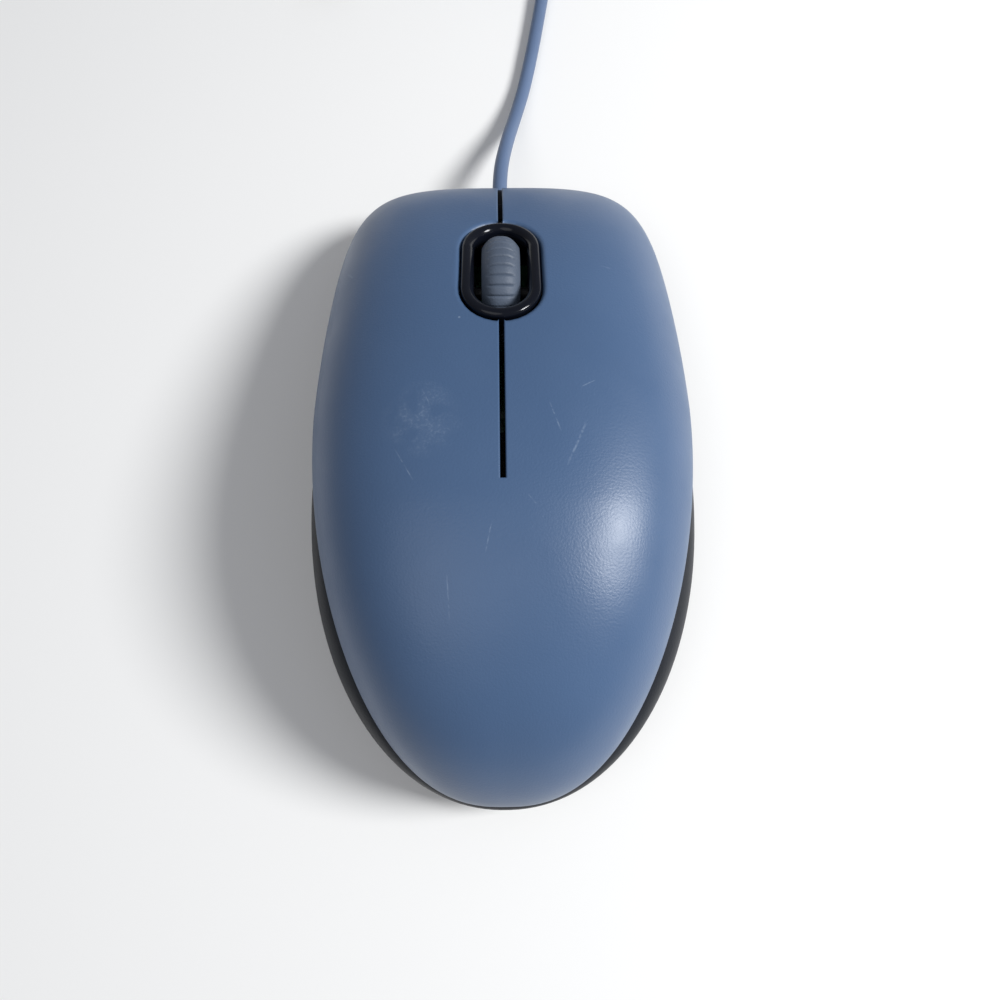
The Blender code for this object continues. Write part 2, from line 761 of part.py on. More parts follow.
ACROSS = Matrix.Translation((0, WHEEL_Y, WHEEL_Z)) @ Matrix.Rotation(math.pi / 2, 4, "Y")
HUB_RADIUS = WHEEL_RADIUS - TYRE_DEPTH - TOUCH_GAP


def make_wheel():
    half = WHEEL_WIDTH / 2
    axle_right = MIDDLE_SWITCH_X + STEM_RADIUS
    hex_right = ENCODER_X + ENCODER_SIZE.x / 2 + TOUCH_GAP
    rim = HUB_RADIUS - HUB_RIM
    profile = [
        (0.0, axle_right),
        (AXLE_RADIUS, axle_right),
        (AXLE_RADIUS, half),
        (COLLAR_RADIUS, half),
        (COLLAR_RADIUS, half - HUB_RECESS),
        (rim, half - HUB_RECESS),
        (rim, half),
        (HUB_RADIUS, half),
        (HUB_RADIUS, -half),
        (rim, -half),
        (rim, HUB_RECESS - half),
        (COLLAR_RADIUS, HUB_RECESS - half),
        (COLLAR_RADIUS, -half),
        (AXLE_RADIUS, -half),
        (AXLE_RADIUS, hex_right),
        (0.0, hex_right),
    ]
    hub = turned("wheel_hub", profile, ACROSS, HUB_PLASTIC)
    hex_left = ENCODER_X - ENCODER_SIZE.x / 2
    drive = cylinder("hex_drive", (hex_left, WHEEL_Y, WHEEL_Z),
                     (hex_right + TOUCH_GAP, WHEEL_Y, WHEEL_Z), AXLE_RADIUS, segments=6)
    join(hub, drive)

    shoulder = half - TREAD_SHOULDER
    inner = HUB_RADIUS + TOUCH_GAP
    tread = [
        (inner, half),
        (WHEEL_RADIUS - TREAD_SHOULDER, half),
        (WHEEL_RADIUS - TREAD_CROWN, shoulder),
        (WHEEL_RADIUS, 0.0),
        (WHEEL_RADIUS - TREAD_CROWN, -shoulder),
        (WHEEL_RADIUS - TREAD_SHOULDER, -half),
        (inner, -half),
        (inner, half),
    ]
    turned("wheel_tyre", tread, ACROSS, RUBBER, steps=TYRE_SEGMENTS)


def make_encoder():
    centre = (ENCODER_X, WHEEL_Y, ON_BOARD)
    housing = centred_box("encoder_housing", centre, ENCODER_SIZE, ENCODER_GREY)
    half = ENCODER_SIZE.x / 2 + TOUCH_GAP
    left = Vector((ENCODER_X - half, WHEEL_Y, WHEEL_Z))
    right = Vector((ENCODER_X + half, WHEEL_Y, WHEEL_Z))
    cut(housing, cylinder("rotor_hole", left, right, ROTOR_RADIUS + ROTOR_CLEARANCE))
    shrink = Vector((2 * TOUCH_GAP, 0, 0))
    rotor = cylinder("encoder_rotor", left + shrink, right - shrink, ROTOR_RADIUS, SWITCH_WHITE)
    cut(rotor, cylinder("hex_hole", left, right, AXLE_RADIUS + HEX_CLEARANCE, segments=6))
    pivot("encoder_axis", (ENCODER_X, WHEEL_Y, WHEEL_Z), rotor)


def make_middle_switch():
    centre = (MIDDLE_SWITCH_X, WHEEL_Y, ON_BOARD)
    body = centred_box("middle_switch_body", centre, MIDDLE_SWITCH_SIZE, SWITCH_BLACK)
    top = ON_BOARD + MIDDLE_SWITCH_SIZE.z
    floor = Vector((MIDDLE_SWITCH_X, WHEEL_Y, top - STEM_DEPTH))
    roof = Vector((MIDDLE_SWITCH_X, WHEEL_Y, top + TOUCH_GAP))
    cut(body, cylinder("stem_hole", floor, roof, STEM_RADIUS + STEM_CLEARANCE))
    foot = (MIDDLE_SWITCH_X, WHEEL_Y, top - STEM_DEPTH / 2)
    head = (MIDDLE_SWITCH_X, WHEEL_Y, WHEEL_Z + AXLE_RADIUS / 2)
    stem = cylinder("middle_switch_stem", foot, head, STEM_RADIUS, SWITCH_WHITE)
    side = STEM_RADIUS + TOUCH_GAP
    left = (MIDDLE_SWITCH_X - side, WHEEL_Y, WHEEL_Z)
    right = (MIDDLE_SWITCH_X + side, WHEEL_Y, WHEEL_Z)
    cut(stem, cylinder("axle_cradle", left, right, AXLE_RADIUS + HEX_CLEARANCE))
    pivot("rocker_axis", (ENCODER_X, WHEEL_Y, WHEEL_Z), stem)


make_wheel()
make_encoder()
make_middle_switch()


# ---- Circuit board and the parts soldered to it ---------------------------------

def make_board():
    half, corner = BOARD_WIDTH / 2, BOARD_CORNER
    outline_points = [
        (-half, BOARD_REAR), (half, BOARD_REAR), (half, BOARD_FRONT - corner),
        (half - corner, BOARD_FRONT), (corner - half, BOARD_FRONT), (-half, BOARD_FRONT - corner),
    ]
    rings = [[(x, y, z) for x, y in outline_points] for z in (BOARD_BOTTOM, BOARD_TOP)]
    board = loft("circuit_board", rings, BOARD_GREEN)
    low, high = BOARD_BOTTOM - TOUCH_GAP, BOARD_TOP + TOUCH_GAP
    barrel = cylinder("barrel_hole", (0, SENSOR_Y, low), (0, SENSOR_Y, high),
                      LENS_BARREL_RADIUS + LENS_CLEARANCE)
    guide = GUIDE_SIZE / 2 + Vector((LENS_CLEARANCE, LENS_CLEARANCE))
    guide_hole = box("guide_hole", (-guide.x, GUIDE_Y - guide.y, low), (guide.x, GUIDE_Y + guide.y, high))
    cut(board, barrel, guide_hole)


def make_button_switch(side_name, side):
    centre = Vector((side * SWITCH_X, PLUNGER_Y - SWITCH_SIZE.y / 4, ON_BOARD))
    body = centred_box(side_name + "_switch_body", centre, SWITCH_SIZE, SWITCH_BLACK)
    room = PLUNGER_SIZE + Vector((2, 2, 0)) * PLUNGER_CLEARANCE
    foot = Vector((side * SWITCH_X, PLUNGER_Y, SWITCH_TOP + PLUNGER_RISE - PLUNGER_SIZE.z))
    pocket_foot = foot - Vector((0, 0, PLUNGER_RISE))
    cut(body, centred_box(side_name + "_pocket", pocket_foot, room + Vector((0, 0, PLUNGER_RISE))))
    plunger = centred_box(side_name + "_switch_plunger", foot, PLUNGER_SIZE, SWITCH_RED)
    pivot(side_name + "_plunger_guide", foot, plunger)


def make_optics():
    chip_foot = (0, SENSOR_Y, ON_BOARD)
    centred_box("sensor_chip", chip_foot, SENSOR_SIZE, SWITCH_BLACK)
    plate_low = FLOOR_TOP + TOUCH_GAP
    plate_high = plate_low + LENS_PLATE
    half = LENS_WIDTH / 2
    lens = box("sensor_lens", (-half, LENS_REAR, plate_low), (half, LENS_FRONT, plate_high), CLEAR_PLASTIC)
    sunk = plate_high - LENS_PLATE / 2
    barrel = cylinder("lens_barrel", (0, SENSOR_Y, sunk), (0, SENSOR_Y, ON_BOARD - 2 * TOUCH_GAP),
                      LENS_BARREL_RADIUS)
    guide = GUIDE_SIZE / 2
    guide_top = ON_BOARD + 2 * LED_RADIUS
    light_guide = box("light_guide", (-guide.x, GUIDE_Y - guide.y, sunk),
                      (guide.x, GUIDE_Y + guide.y, guide_top))
    join(lens, barrel, light_guide)

    axis_z = ON_BOARD + LED_RADIUS
    tip = LED_LENGTH - LED_RADIUS
    profile = [(0.0, LED_LENGTH)]
    for i in range(1, LED_TIP_STEPS + 1):
        turn = math.pi / 2 * i / LED_TIP_STEPS
        profile.append((LED_RADIUS * math.sin(turn), tip + LED_RADIUS * math.cos(turn)))
    profile += [(LED_RADIUS, 0.0), (0.0, 0.0)]
    place = Matrix.Translation((0, LED_REAR, axis_z)) @ Matrix.Rotation(-math.pi / 2, 4, "X")
    turned("sensor_led", profile, place, LED_RED, steps=FINE_SEGMENTS)

    room = LED_RADIUS + LED_CLEARANCE
    wide = room + LED_CLIP_WALL
    rear, front = LED_REAR + LED_CLIP_REAR, LED_REAR + LED_CLIP_FRONT
    roof = axis_z + room
    clip = box("led_clip", (-wide, rear, ON_BOARD), (wide, front, roof + LED_CLIP_WALL), SWITCH_BLACK)
    tunnel = box("led_tunnel", (-room, rear - TOUCH_GAP, 0), (room, front + TOUCH_GAP, roof))
    cut(clip, tunnel)


def make_small_parts():
    shoulder = CAPACITOR_SHOULDER
    can = [
        (0.0, CAPACITOR_HEIGHT),
        (CAPACITOR_RADIUS - shoulder, CAPACITOR_HEIGHT),
        (CAPACITOR_RADIUS, CAPACITOR_HEIGHT - shoulder),
        (CAPACITOR_RADIUS, 0.0),
        (0.0, 0.0),
    ]
    place = Matrix.Translation((*CAPACITOR_PLACE, ON_BOARD))
    turned("board_capacitor", can, place, CAN_BLUE, steps=FINE_SEGMENTS)
    centred_box("board_crystal", (*CRYSTAL_PLACE, ON_BOARD), CRYSTAL_SIZE, STEEL, bevel=CRYSTAL_ROUND)
    centre = Vector((HEADER_X, HEADER_REAR + HEADER_SIZE.y / 2, ON_BOARD))
    header = centred_box("board_header", centre, HEADER_SIZE, SWITCH_WHITE)
    half = HEADER_SIZE.x / 2 - HEADER_WALL
    depth = HEADER_REAR + HEADER_SIZE.y / 2
    low, high = ON_BOARD + HEADER_WALL, ON_BOARD + HEADER_SIZE.z - HEADER_WALL
    mouth = HEADER_REAR + HEADER_SIZE.y + TOUCH_GAP
    cut(header, box("header_mouth", (HEADER_X - half, depth, low), (HEADER_X + half, mouth, high)))
    box("header_plug", (HEADER_X - half + TOUCH_GAP, depth + TOUCH_GAP, low + TOUCH_GAP),
        (HEADER_X + half - TOUCH_GAP, PLUG_CONNECTOR_FRONT, high - TOUCH_GAP), SWITCH_WHITE)


make_board()
make_button_switch("left", -1)
make_button_switch("right", 1)
make_optics()
make_small_parts()


# ---- Cord, its gland and the wires inside ---------------------------------------

def make_gland_and_wires():
    centre = (0, GROMMET_REAR + GROMMET_SIZE.y / 2, CORD_Z - GROMMET_SIZE.z / 2)
    grommet = centred_box("cable_grommet", centre, GROMMET_SIZE, BASE_PLASTIC)
    bore = cylinder("cord_bore", (0, GROMMET_REAR - TOUCH_GAP, CORD_Z),
                    (0, GROMMET_REAR + GROMMET_SIZE.y + TOUCH_GAP, CORD_Z),
                    CORD_DIAMETER / 2 + TOUCH_GAP, segments=FINE_SEGMENTS)
    cut(grommet, bore)

    pitch = WIRE_DIAMETER + TOUCH_GAP
    wire_z = ON_BOARD + HEADER_SIZE.z / 2
    for i, look in enumerate(WIRE_LOOKS):
        lane = Vector((0, 0, (i - 1.5) * pitch))
        start = Vector((0, CORD_INNER_END - TOUCH_GAP, CORD_Z)) + lane
        end = Vector((HEADER_X, PLUG_CONNECTOR_FRONT + TOUCH_GAP, wire_z)) + lane
        bend = Vector((0, WIRE_BEND, 0))
        route = [start, start - bend, end + bend, end]
        tube(f"wire_{i + 1}", route, WIRE_DIAMETER, look, 2 * WIRE_DIAMETER)


def make_cord():
    tube("usb_cable", CORD_ROUTE, CORD_DIAMETER, CORD_JACKET, CORD_SPACING)
    tube("usb_cable_tail", TAIL_ROUTE, CORD_DIAMETER, CORD_JACKET, CORD_SPACING)
    half = COIL_SECTION / 2
    fillet = CORD_DIAMETER / 2
    corners = [(half, 1), (half, -1), (-half, -1), (-half, 1)]
    profile = []
    for k, (x, up) in enumerate(corners):
        for i in range(COIL_CORNER_STEPS + 1):
            turn = math.pi / 2 * (1 - k) - math.pi / 2 * i / COIL_CORNER_STEPS
            px = math.copysign(half - fillet, x) + fillet * math.cos(turn)
            pz = up * (half - fillet) + fillet * math.sin(turn)
            profile.append((COIL_RADIUS + px, COIL_BOTTOM + half + pz))
    profile.append(profile[0])
    place = Matrix.Translation((*COIL_CENTRE, 0))
    turned("cable_coil", profile, place, CORD_JACKET, steps=COIL_SEGMENTS)

    x = COIL_CENTRE.x + COIL_RADIUS
    inside = half + TOUCH_GAP
    outside = inside + TIE_THICKNESS
    middle_z = COIL_BOTTOM + half
    tie = box("cable_tie", (x - outside, COIL_CENTRE.y - TIE_WIDTH / 2, middle_z - outside),
              (x + outside, COIL_CENTRE.y + TIE_WIDTH / 2, middle_z + outside), BASE_PLASTIC)
    cut(tie, box("tie_inside", (x - inside, COIL_CENTRE.y - TIE_WIDTH, middle_z - inside),
                 (x + inside, COIL_CENTRE.y + TIE_WIDTH, middle_z + inside)))


def make_plug():
    front = PLUG_REAR_Y - GRIP_SIZE.y
    grip = box("usb_plug_body", (PLUG_X - GRIP_SIZE.x / 2, front, 0),
               (PLUG_X + GRIP_SIZE.x / 2, PLUG_REAR_Y, GRIP_SIZE.z), CORD_JACKET, bevel=GRIP_ROUND)
    middle_z = GRIP_SIZE.z / 2
    rear = front + SHELL_INSERT
    tip = rear - SHELL_SIZE.y
    half = Vector((SHELL_SIZE.x / 2, SHELL_SIZE.z / 2))
    room = half + Vector((TOUCH_GAP, TOUCH_GAP))
    cut(grip, box("shell_socket", (PLUG_X - room.x, front - TOUCH_GAP, middle_z - room.y),
                  (PLUG_X + room.x, rear + TOUCH_GAP, middle_z + room.y)))
    shell = box("usb_plug_shell", (PLUG_X - half.x, tip, middle_z - half.y),
                (PLUG_X + half.x, rear, middle_z + half.y), STEEL)
    hollow = half - Vector((SHELL_WALL, SHELL_WALL))
    back = rear - SHELL_WALL
    cut(shell, box("shell_hollow", (PLUG_X - hollow.x, tip - TOUCH_GAP, middle_z - hollow.y),
                   (PLUG_X + hollow.x, back, middle_z + hollow.y)))
    for i, x in enumerate((-SHELL_WINDOW_X, SHELL_WINDOW_X)):
        side, near = SHELL_WINDOW_SIZE / 2, tip + SHELL_WINDOW_Y
        cut(shell, box(f"shell_window_{i}", (PLUG_X + x - side, near, middle_z),
                       (PLUG_X + x + side, near + SHELL_WINDOW_SIZE, 2 * middle_z)))
    tongue_half = hollow.x - TOUCH_GAP
    tongue_top = middle_z + hollow.y - TOUCH_GAP
    box("usb_plug_tongue", (PLUG_X - tongue_half, tip + TONGUE_RECESS, tongue_top - TONGUE_THICKNESS),
        (PLUG_X + tongue_half, back - TOUCH_GAP, tongue_top), SWITCH_BLACK)
    for i in range(4):
        x = PLUG_X + (i - 1.5) * CONTACT_PITCH
        contact_top = tongue_top - TONGUE_THICKNESS - CONTACT_GAP
        low = (x - CONTACT_WIDTH / 2, tip + CONTACT_FRONT, contact_top - CONTACT_THICKNESS)
        box(f"usb_contact_{i + 1}", low, (x + CONTACT_WIDTH / 2, back - CONTACT_REAR, contact_top), GOLD)


make_gland_and_wires()
make_cord()
make_plug()


# ---- Underside: screw, feet and label -------------------------------------------

def make_underside():
    seat = SCREW_SEAT - TOUCH_GAP
    profile = [
        (0.0, SCREW_TIP_Z),
        (SCREW_SHANK_RADIUS * 0.3, SCREW_TIP_Z),
        (SCREW_SHANK_RADIUS, SCREW_TIP_Z - SCREW_POINT),
        (SCREW_SHANK_RADIUS, seat),
        (SCREW_HEAD_RADIUS, seat),
        (SCREW_HEAD_RADIUS, seat - 0.7 * SCREW_HEAD_HEIGHT),
        (0.7 * SCREW_HEAD_RADIUS, seat - SCREW_HEAD_HEIGHT),
        (0.0, seat - SCREW_HEAD_HEIGHT),
    ]
    place = Matrix.Translation((0, REAR_FOOT_Y, 0))
    screw = turned("case_screw", profile, place, STEEL, steps=FINE_SEGMENTS)
    under = seat - SCREW_HEAD_HEIGHT - TOUCH_GAP
    arms = 1.2 * SCREW_HEAD_RADIUS
    cut(screw, centred_box("driver_slot_a", (0, REAR_FOOT_Y, under), (arms, DRIVER_SLOT, DRIVER_DEPTH)),
        centred_box("driver_slot_b", (0, REAR_FOOT_Y, under), (DRIVER_SLOT, arms, DRIVER_DEPTH)))

    for name, y, width in (("front_foot", FRONT_FOOT_Y, FRONT_FOOT_WIDTH),
                           ("rear_foot", REAR_FOOT_Y, REAR_FOOT_WIDTH)):
        radius = FOOT_LENGTH / 2
        straight = width / 2 - radius
        points = []
        for side in (1, -1):
            for i in range(FOOT_STEPS + 1):
                turn = math.pi * i / FOOT_STEPS - math.pi / 2
                points.append((side * (straight + radius * math.cos(turn)),
                               y + side * radius * math.sin(turn)))
        loft(name, [[(px, py, z) for px, py in points] for z in (0.0, FOOT_THICKNESS)], SLICK_FOOT)
    top = FLOOR_BOTTOM - LABEL_GAP
    box("rating_label", (*LABEL_LOW, top - LABEL_THICKNESS), (*LABEL_HIGH, top), LABEL_PAPER)


make_underside()
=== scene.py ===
# A wired optical mouse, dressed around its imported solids. Metres; +Y is the cord end, +Z up.
import math

import bmesh
import bpy
from mathutils import Matrix, Vector


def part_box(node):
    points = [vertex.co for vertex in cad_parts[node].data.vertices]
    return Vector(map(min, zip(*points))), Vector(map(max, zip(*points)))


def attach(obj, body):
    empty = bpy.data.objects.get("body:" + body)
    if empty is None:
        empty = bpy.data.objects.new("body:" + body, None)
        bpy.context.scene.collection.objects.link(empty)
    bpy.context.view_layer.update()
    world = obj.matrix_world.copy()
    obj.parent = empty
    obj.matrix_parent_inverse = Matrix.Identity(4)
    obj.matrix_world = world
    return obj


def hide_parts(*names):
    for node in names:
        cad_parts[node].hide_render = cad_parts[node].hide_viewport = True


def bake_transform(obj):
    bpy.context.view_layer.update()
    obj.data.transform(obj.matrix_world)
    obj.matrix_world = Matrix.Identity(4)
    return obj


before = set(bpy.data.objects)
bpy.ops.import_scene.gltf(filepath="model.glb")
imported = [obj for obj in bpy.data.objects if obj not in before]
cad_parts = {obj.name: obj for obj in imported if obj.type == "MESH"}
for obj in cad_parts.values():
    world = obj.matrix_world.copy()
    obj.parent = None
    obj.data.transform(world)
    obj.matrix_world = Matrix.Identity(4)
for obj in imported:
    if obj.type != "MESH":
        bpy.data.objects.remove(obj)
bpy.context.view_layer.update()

# ---- Camera, table and studio light ---------------------------------------------
# The camera stands over the palm and looks down and a little forwards.
# The table is a pale matt board; a soft key light stands to the right, and a weak fill high on the left.

CAMERA_PLACE = Vector((-0.00045, -0.0367, 0.1368))
CAMERA_TILT = math.radians(14.0)
CAMERA_ROLL = math.radians(-0.5)
CAMERA_LENS = 27.0
TABLE_SIZE = 6.0
TABLE_COLOUR = (0.86, 0.85, 0.83)
KEY_AIM = Vector((0.012, -0.008, 0.030))
KEY_PLACE = (0.49, -0.005, 0.470)
FILL_PLACE = (-0.30, -0.22, 0.80)
SKY_COLOUR = (0.86, 0.90, 1.0)
SKY_STRENGTH = 0.25


def new_material(name):
    """A material and its node tree and shader."""
    made = bpy.data.materials.new(name)
    made.use_nodes = True
    tree = made.node_tree
    return made, tree, tree.nodes["Principled BSDF"]


def add_node(tree, kind, links=(), **settings):
    """A node with its settings; links are (input, socket or value) pairs."""
    node = tree.nodes.new(kind)
    for key, value in settings.items():
        setattr(node, key, value)
    for slot, value in links:
        if isinstance(value, bpy.types.NodeSocket):
            tree.links.new(value, node.inputs[slot])
        else:
            node.inputs[slot].default_value = value
    return node


def camera_and_table():
    camera = bpy.data.objects.new("camera", bpy.data.cameras.new("camera"))
    bpy.context.scene.collection.objects.link(camera)
    camera.data.lens = CAMERA_LENS
    camera.data.clip_start = 0.005
    turn = Matrix.Rotation(CAMERA_TILT, 4, "X") @ Matrix.Rotation(CAMERA_ROLL, 4, "Z")
    camera.matrix_world = Matrix.Translation(CAMERA_PLACE) @ turn
    bpy.context.scene.camera = camera

    shape = bmesh.new()
    bmesh.ops.create_grid(shape, x_segments=4, y_segments=4, size=TABLE_SIZE / 2)
    mesh = bpy.data.meshes.new("table")
    shape.to_mesh(mesh)
    shape.free()
    table = bpy.data.objects.new("table", mesh)
    bpy.context.scene.collection.objects.link(table)
    look, tree, shader = new_material("table_board")
    shader.inputs["Base Color"].default_value = (*TABLE_COLOUR, 1)
    shader.inputs["Roughness"].default_value = 0.85
    shader.inputs["Specular IOR Level"].default_value = 0.2
    mesh.materials.append(look)


def area_light(name, place, aim, size, power, colour=(1, 1, 1)):
    lamp = bpy.data.lights.new(name, "AREA")
    lamp.shape = "DISK"
    lamp.size = size
    lamp.energy = power
    lamp.color = colour
    made = bpy.data.objects.new(name, lamp)
    bpy.context.scene.collection.objects.link(made)
    made.location = place
    made.rotation_mode = "QUATERNION"
    made.rotation_quaternion = (Vector(aim) - Vector(place)).to_track_quat("-Z", "Y")


def studio_light():
    area_light("key", KEY_PLACE, KEY_AIM, 0.22, 5.3, (0.97, 0.985, 1.0))
    area_light("fill", FILL_PLACE, KEY_AIM, 0.7, 1.5)
    world = bpy.data.worlds.new("studio")
    bpy.context.scene.world = world
    world.use_nodes = True
    sky = world.node_tree.nodes["Background"]
    sky.inputs["Color"].default_value = (*SKY_COLOUR, 1)
    sky.inputs["Strength"].default_value = SKY_STRENGTH


bpy.context.scene.view_settings.view_transform = "Standard"
camera_and_table()
studio_light()

# ---- Cord -----------------------------------------------------------------------
# A limp grey-blue jacketed cable leaves the front notch, drops to the table and runs forwards.
# The rest of its 1.8 m is wound in a neat coil of round turns, held by a tie, and ends in its plug.

CORD_DIAMETER = 0.0028
CORD_EXIT = (0.0, 0.0560, 0.0104)
CORD_ROUTE = [
    (0.0000, 0.0480, 0.0104),
    (0.0000, 0.0560, 0.0104),
    (0.0004, 0.0625, 0.0097),
    (0.0016, 0.0705, 0.0068),
    (0.0033, 0.0790, 0.0034),
    (0.0054, 0.0880, 0.0017),
    (0.0075, 0.0985, 0.0015),
    (0.0099, 0.1125, 0.0016),
    (0.0112, 0.1215, 0.0020),
    (0.0113, 0.12873, 0.0023),
]
TAIL_ROUTE = [
    (-0.0163, 0.1681, 0.0090),
    (-0.0225, 0.1702, 0.0082),
    (-0.0300, 0.1700, 0.0064),
    (-0.0362, 0.1660, 0.0048),
    (-0.0387, 0.1605, 0.0041),
    (-0.0390, 0.1548, 0.0040),
]
COIL_LOW, COIL_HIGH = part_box("cable_coil")
COIL_MIDDLE = (COIL_LOW + COIL_HIGH) / 2
COIL_OUTER = (COIL_HIGH.x - COIL_LOW.x) / 2
TURN_PITCH = 0.00285
TURNS_ACROSS = 4
COIL_TURNS = 15.2
POINTS_PER_TURN = 14
CROSSING_SHARE = 0.3
CURVE_STEPS = 5
JOIN_TURN = 0.06
JOIN_OUT = 0.0012
LEAVE_DROP = 0.0006


def coil_slot(number):
    """Radius and height of a whole turn: layers of four, wound in, then out, and so on."""
    layer, place = divmod(number, TURNS_ACROSS)
    if layer % 2:
        place = TURNS_ACROSS - 1 - place
    outermost = COIL_OUTER - CORD_DIAMETER / 2 - 0.00005
    height = COIL_LOW.z + CORD_DIAMETER / 2 + layer * TURN_PITCH
    return outermost - place * TURN_PITCH, height


def around_coil(turn, radius, height):
    """Point at a number of turns from the tie, counter-clockwise."""
    angle = 2 * math.pi * turn
    return Vector((COIL_MIDDLE.x + radius * math.cos(angle), COIL_MIDDLE.y + radius * math.sin(angle),
                   height))


def coil_points():
    points = []
    for i in range(round(COIL_TURNS * POINTS_PER_TURN) + 1):
        turn = i / POINTS_PER_TURN
        number = min(int(turn), TURNS_ACROSS ** 2 - 1)
        step = max(turn - number - (1 - CROSSING_SHARE), 0.0) / CROSSING_SHARE
        step = min(step, 1.0)
        blend = step * step * (3 - 2 * step)
        near, far = coil_slot(number), coil_slot(min(number + 1, TURNS_ACROSS ** 2 - 1))
        radius = near[0] + (far[0] - near[0]) * blend
        height = near[1] + (far[1] - near[1]) * blend
        points.append(around_coil(turn, radius, height))
    return points


def smooth_route(route, steps):
    """Points on a Catmull-Rom curve through the route's points."""
    knots = [Vector(point) for point in route]
    knots = [2 * knots[0] - knots[1]] + knots + [2 * knots[-1] - knots[-2]]
    fine = []
    for a, b, c, d in zip(knots, knots[1:], knots[2:], knots[3:]):
        for i in range(steps):
            t = i / steps
            fine.append(0.5 * (2 * b + (c - a) * t + (2 * a - 5 * b + 4 * c - d) * t * t
                               + (3 * b - a - 3 * c + d) * t ** 3))
    fine.append(knots[-2])
    return fine


def make_cord():
    coil = coil_points()
    first, last = coil_slot(0), coil_slot(TURNS_ACROSS ** 2 - 1)
    joining = around_coil(-JOIN_TURN, first[0] + JOIN_OUT, first[1])
    leaving = around_coil(COIL_TURNS + JOIN_TURN, last[0] + JOIN_OUT, last[1] - LEAVE_DROP)
    route = smooth_route([*CORD_ROUTE, joining, *coil, leaving, *TAIL_ROUTE], CURVE_STEPS)
    curve = bpy.data.curves.new("cord", "CURVE")
    curve.dimensions = "3D"
    curve.bevel_depth = CORD_DIAMETER / 2
    curve.bevel_resolution = 4
    curve.use_fill_caps = True
    spline = curve.splines.new("POLY")
    spline.points.add(len(route) - 1)
    for slot, point in zip(spline.points, route):
        slot.co = (*point, 1)
    spline.use_smooth = True
    made = bpy.data.objects.new("cord", curve)
    bpy.context.scene.collection.objects.link(made)
    return made


def moulded(name, colour, roughness, grain=2500.0, grain_depth=0.00002, tint=0.12, wear=0.1,
            metallic=0.0, coat=0.0, specular=0.5):
    """Moulded or drawn stock: fine grain, slow changes of tone, uneven gloss."""
    look, tree, shader = new_material(name)
    place = add_node(tree, "ShaderNodeTexCoord").outputs["Object"]
    slow = add_node(tree, "ShaderNodeTexNoise", [("Vector", place), ("Scale", 90.0), ("Detail", 3.0)])
    fine = add_node(tree, "ShaderNodeTexNoise", [("Vector", place), ("Scale", grain), ("Detail", 2.0)])
    darker = [channel * (1 - tint) for channel in colour]
    lighter = [min(channel * (1 + tint), 1.0) for channel in colour]
    blend = add_node(tree, "ShaderNodeMix", [("Factor", slow.outputs["Fac"]), ("A", (*darker, 1)),
                                             ("B", (*lighter, 1))], data_type="RGBA")
    tree.links.new(blend.outputs["Result"], shader.inputs["Base Color"])
    gloss = add_node(tree, "ShaderNodeMapRange", [("Value", slow.outputs["Fac"]), ("From Min", 0.3),
                                                  ("From Max", 0.7), ("To Min", roughness - wear / 2),
                                                  ("To Max", roughness + wear / 2)])
    tree.links.new(gloss.outputs["Result"], shader.inputs["Roughness"])
    bump = add_node(tree, "ShaderNodeBump", [("Height", fine.outputs["Fac"]), ("Distance", grain_depth),
                                             ("Strength", 0.6)])
    tree.links.new(bump.outputs["Normal"], shader.inputs["Normal"])
    shader.inputs["Metallic"].default_value = metallic
    shader.inputs["Coat Weight"].default_value = coat
    shader.inputs["Specular IOR Level"].default_value = specular
    return look


CORD_JACKET = moulded("cord_jacket", (0.108, 0.160, 0.270), 0.50, grain=1800.0, grain_depth=0.00003)
cord = make_cord()
cord.data.materials.append(CORD_JACKET)
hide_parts("usb_cable", "usb_cable_tail", "cable_coil")
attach(cord, "case")

# ---- Cover: palm and buttons ----------------------------------------------------
# One satin slate-blue moulding with a fine spark grain; its slotted front flexes as two buttons.
# Every edge is rolled to a small radius, and the palm is held by one screw from below.

FRONT_Y = 0.056
REAR_Y = -0.056
COVER_REAR_Y = -0.055
COVER_HALF = 0.0312
BASE_HALF = 0.032
COVER_WIDEST_Y = 0.008
BASE_WIDEST_Y = -0.003
NOSE_SQUARENESS = 7.0
NOSE_POWER = 0.2
COVER_TAPER = 0.13
COVER_REAR_POWER = 1.75
COVER_REAR_ROOT = 1 / 2.4
CROWN_FRONT_POWER = 1.5
CROWN_FRONT_ROOT = 1 / 1.9
DOME_POWER = 2.5
DOME_POWER_GAIN = 0.7
COVER_COLUMNS = 132
COVER_ROWS = 190
PARTING_PEAK = 0.0205
PARTING_PEAK_Y = -0.018
PARTING_FRONT = 0.009
PARTING_REAR = 0.0095
CROWN_PEAK_Y = -0.012
CROWN_PEAK = 0.038
LIP_RADIUS = 0.00022
RING_LIP_RADIUS = 0.0008
LIP_DEPTH = 0.0010
COVER_SHEET = 0.0007
SLOT_HALF = 0.0004
SLOT_REAR = -0.0088
SEAM_Y = -0.0125
NOTCH_HALF = 0.0017
NOTCH_TOP = 0.0127
BEZEL_GAP = 0.00022
BEZEL_MIDDLE = 0.02835
BEZEL_HALF = 0.00635
BEZEL_HALF_LENGTH = 0.01075


def share_between(value, start, end):
    return min(max((value - start) / (end - start), 0.0), 1.0)


def half_width(y, half, widest, front, rear, taper, rear_power, rear_root):
    if y >= widest:
        t = share_between(y, widest, front)
        return half * (1 - taper * t ** 2) * (1 - t ** NOSE_SQUARENESS) ** NOSE_POWER
    t = share_between(y, widest, rear)
    return half * (1 - t ** rear_power) ** rear_root


def cover_half_width(y):
    return half_width(y, COVER_HALF, COVER_WIDEST_Y, FRONT_Y, COVER_REAR_Y, COVER_TAPER,
                      COVER_REAR_POWER, COVER_REAR_ROOT)


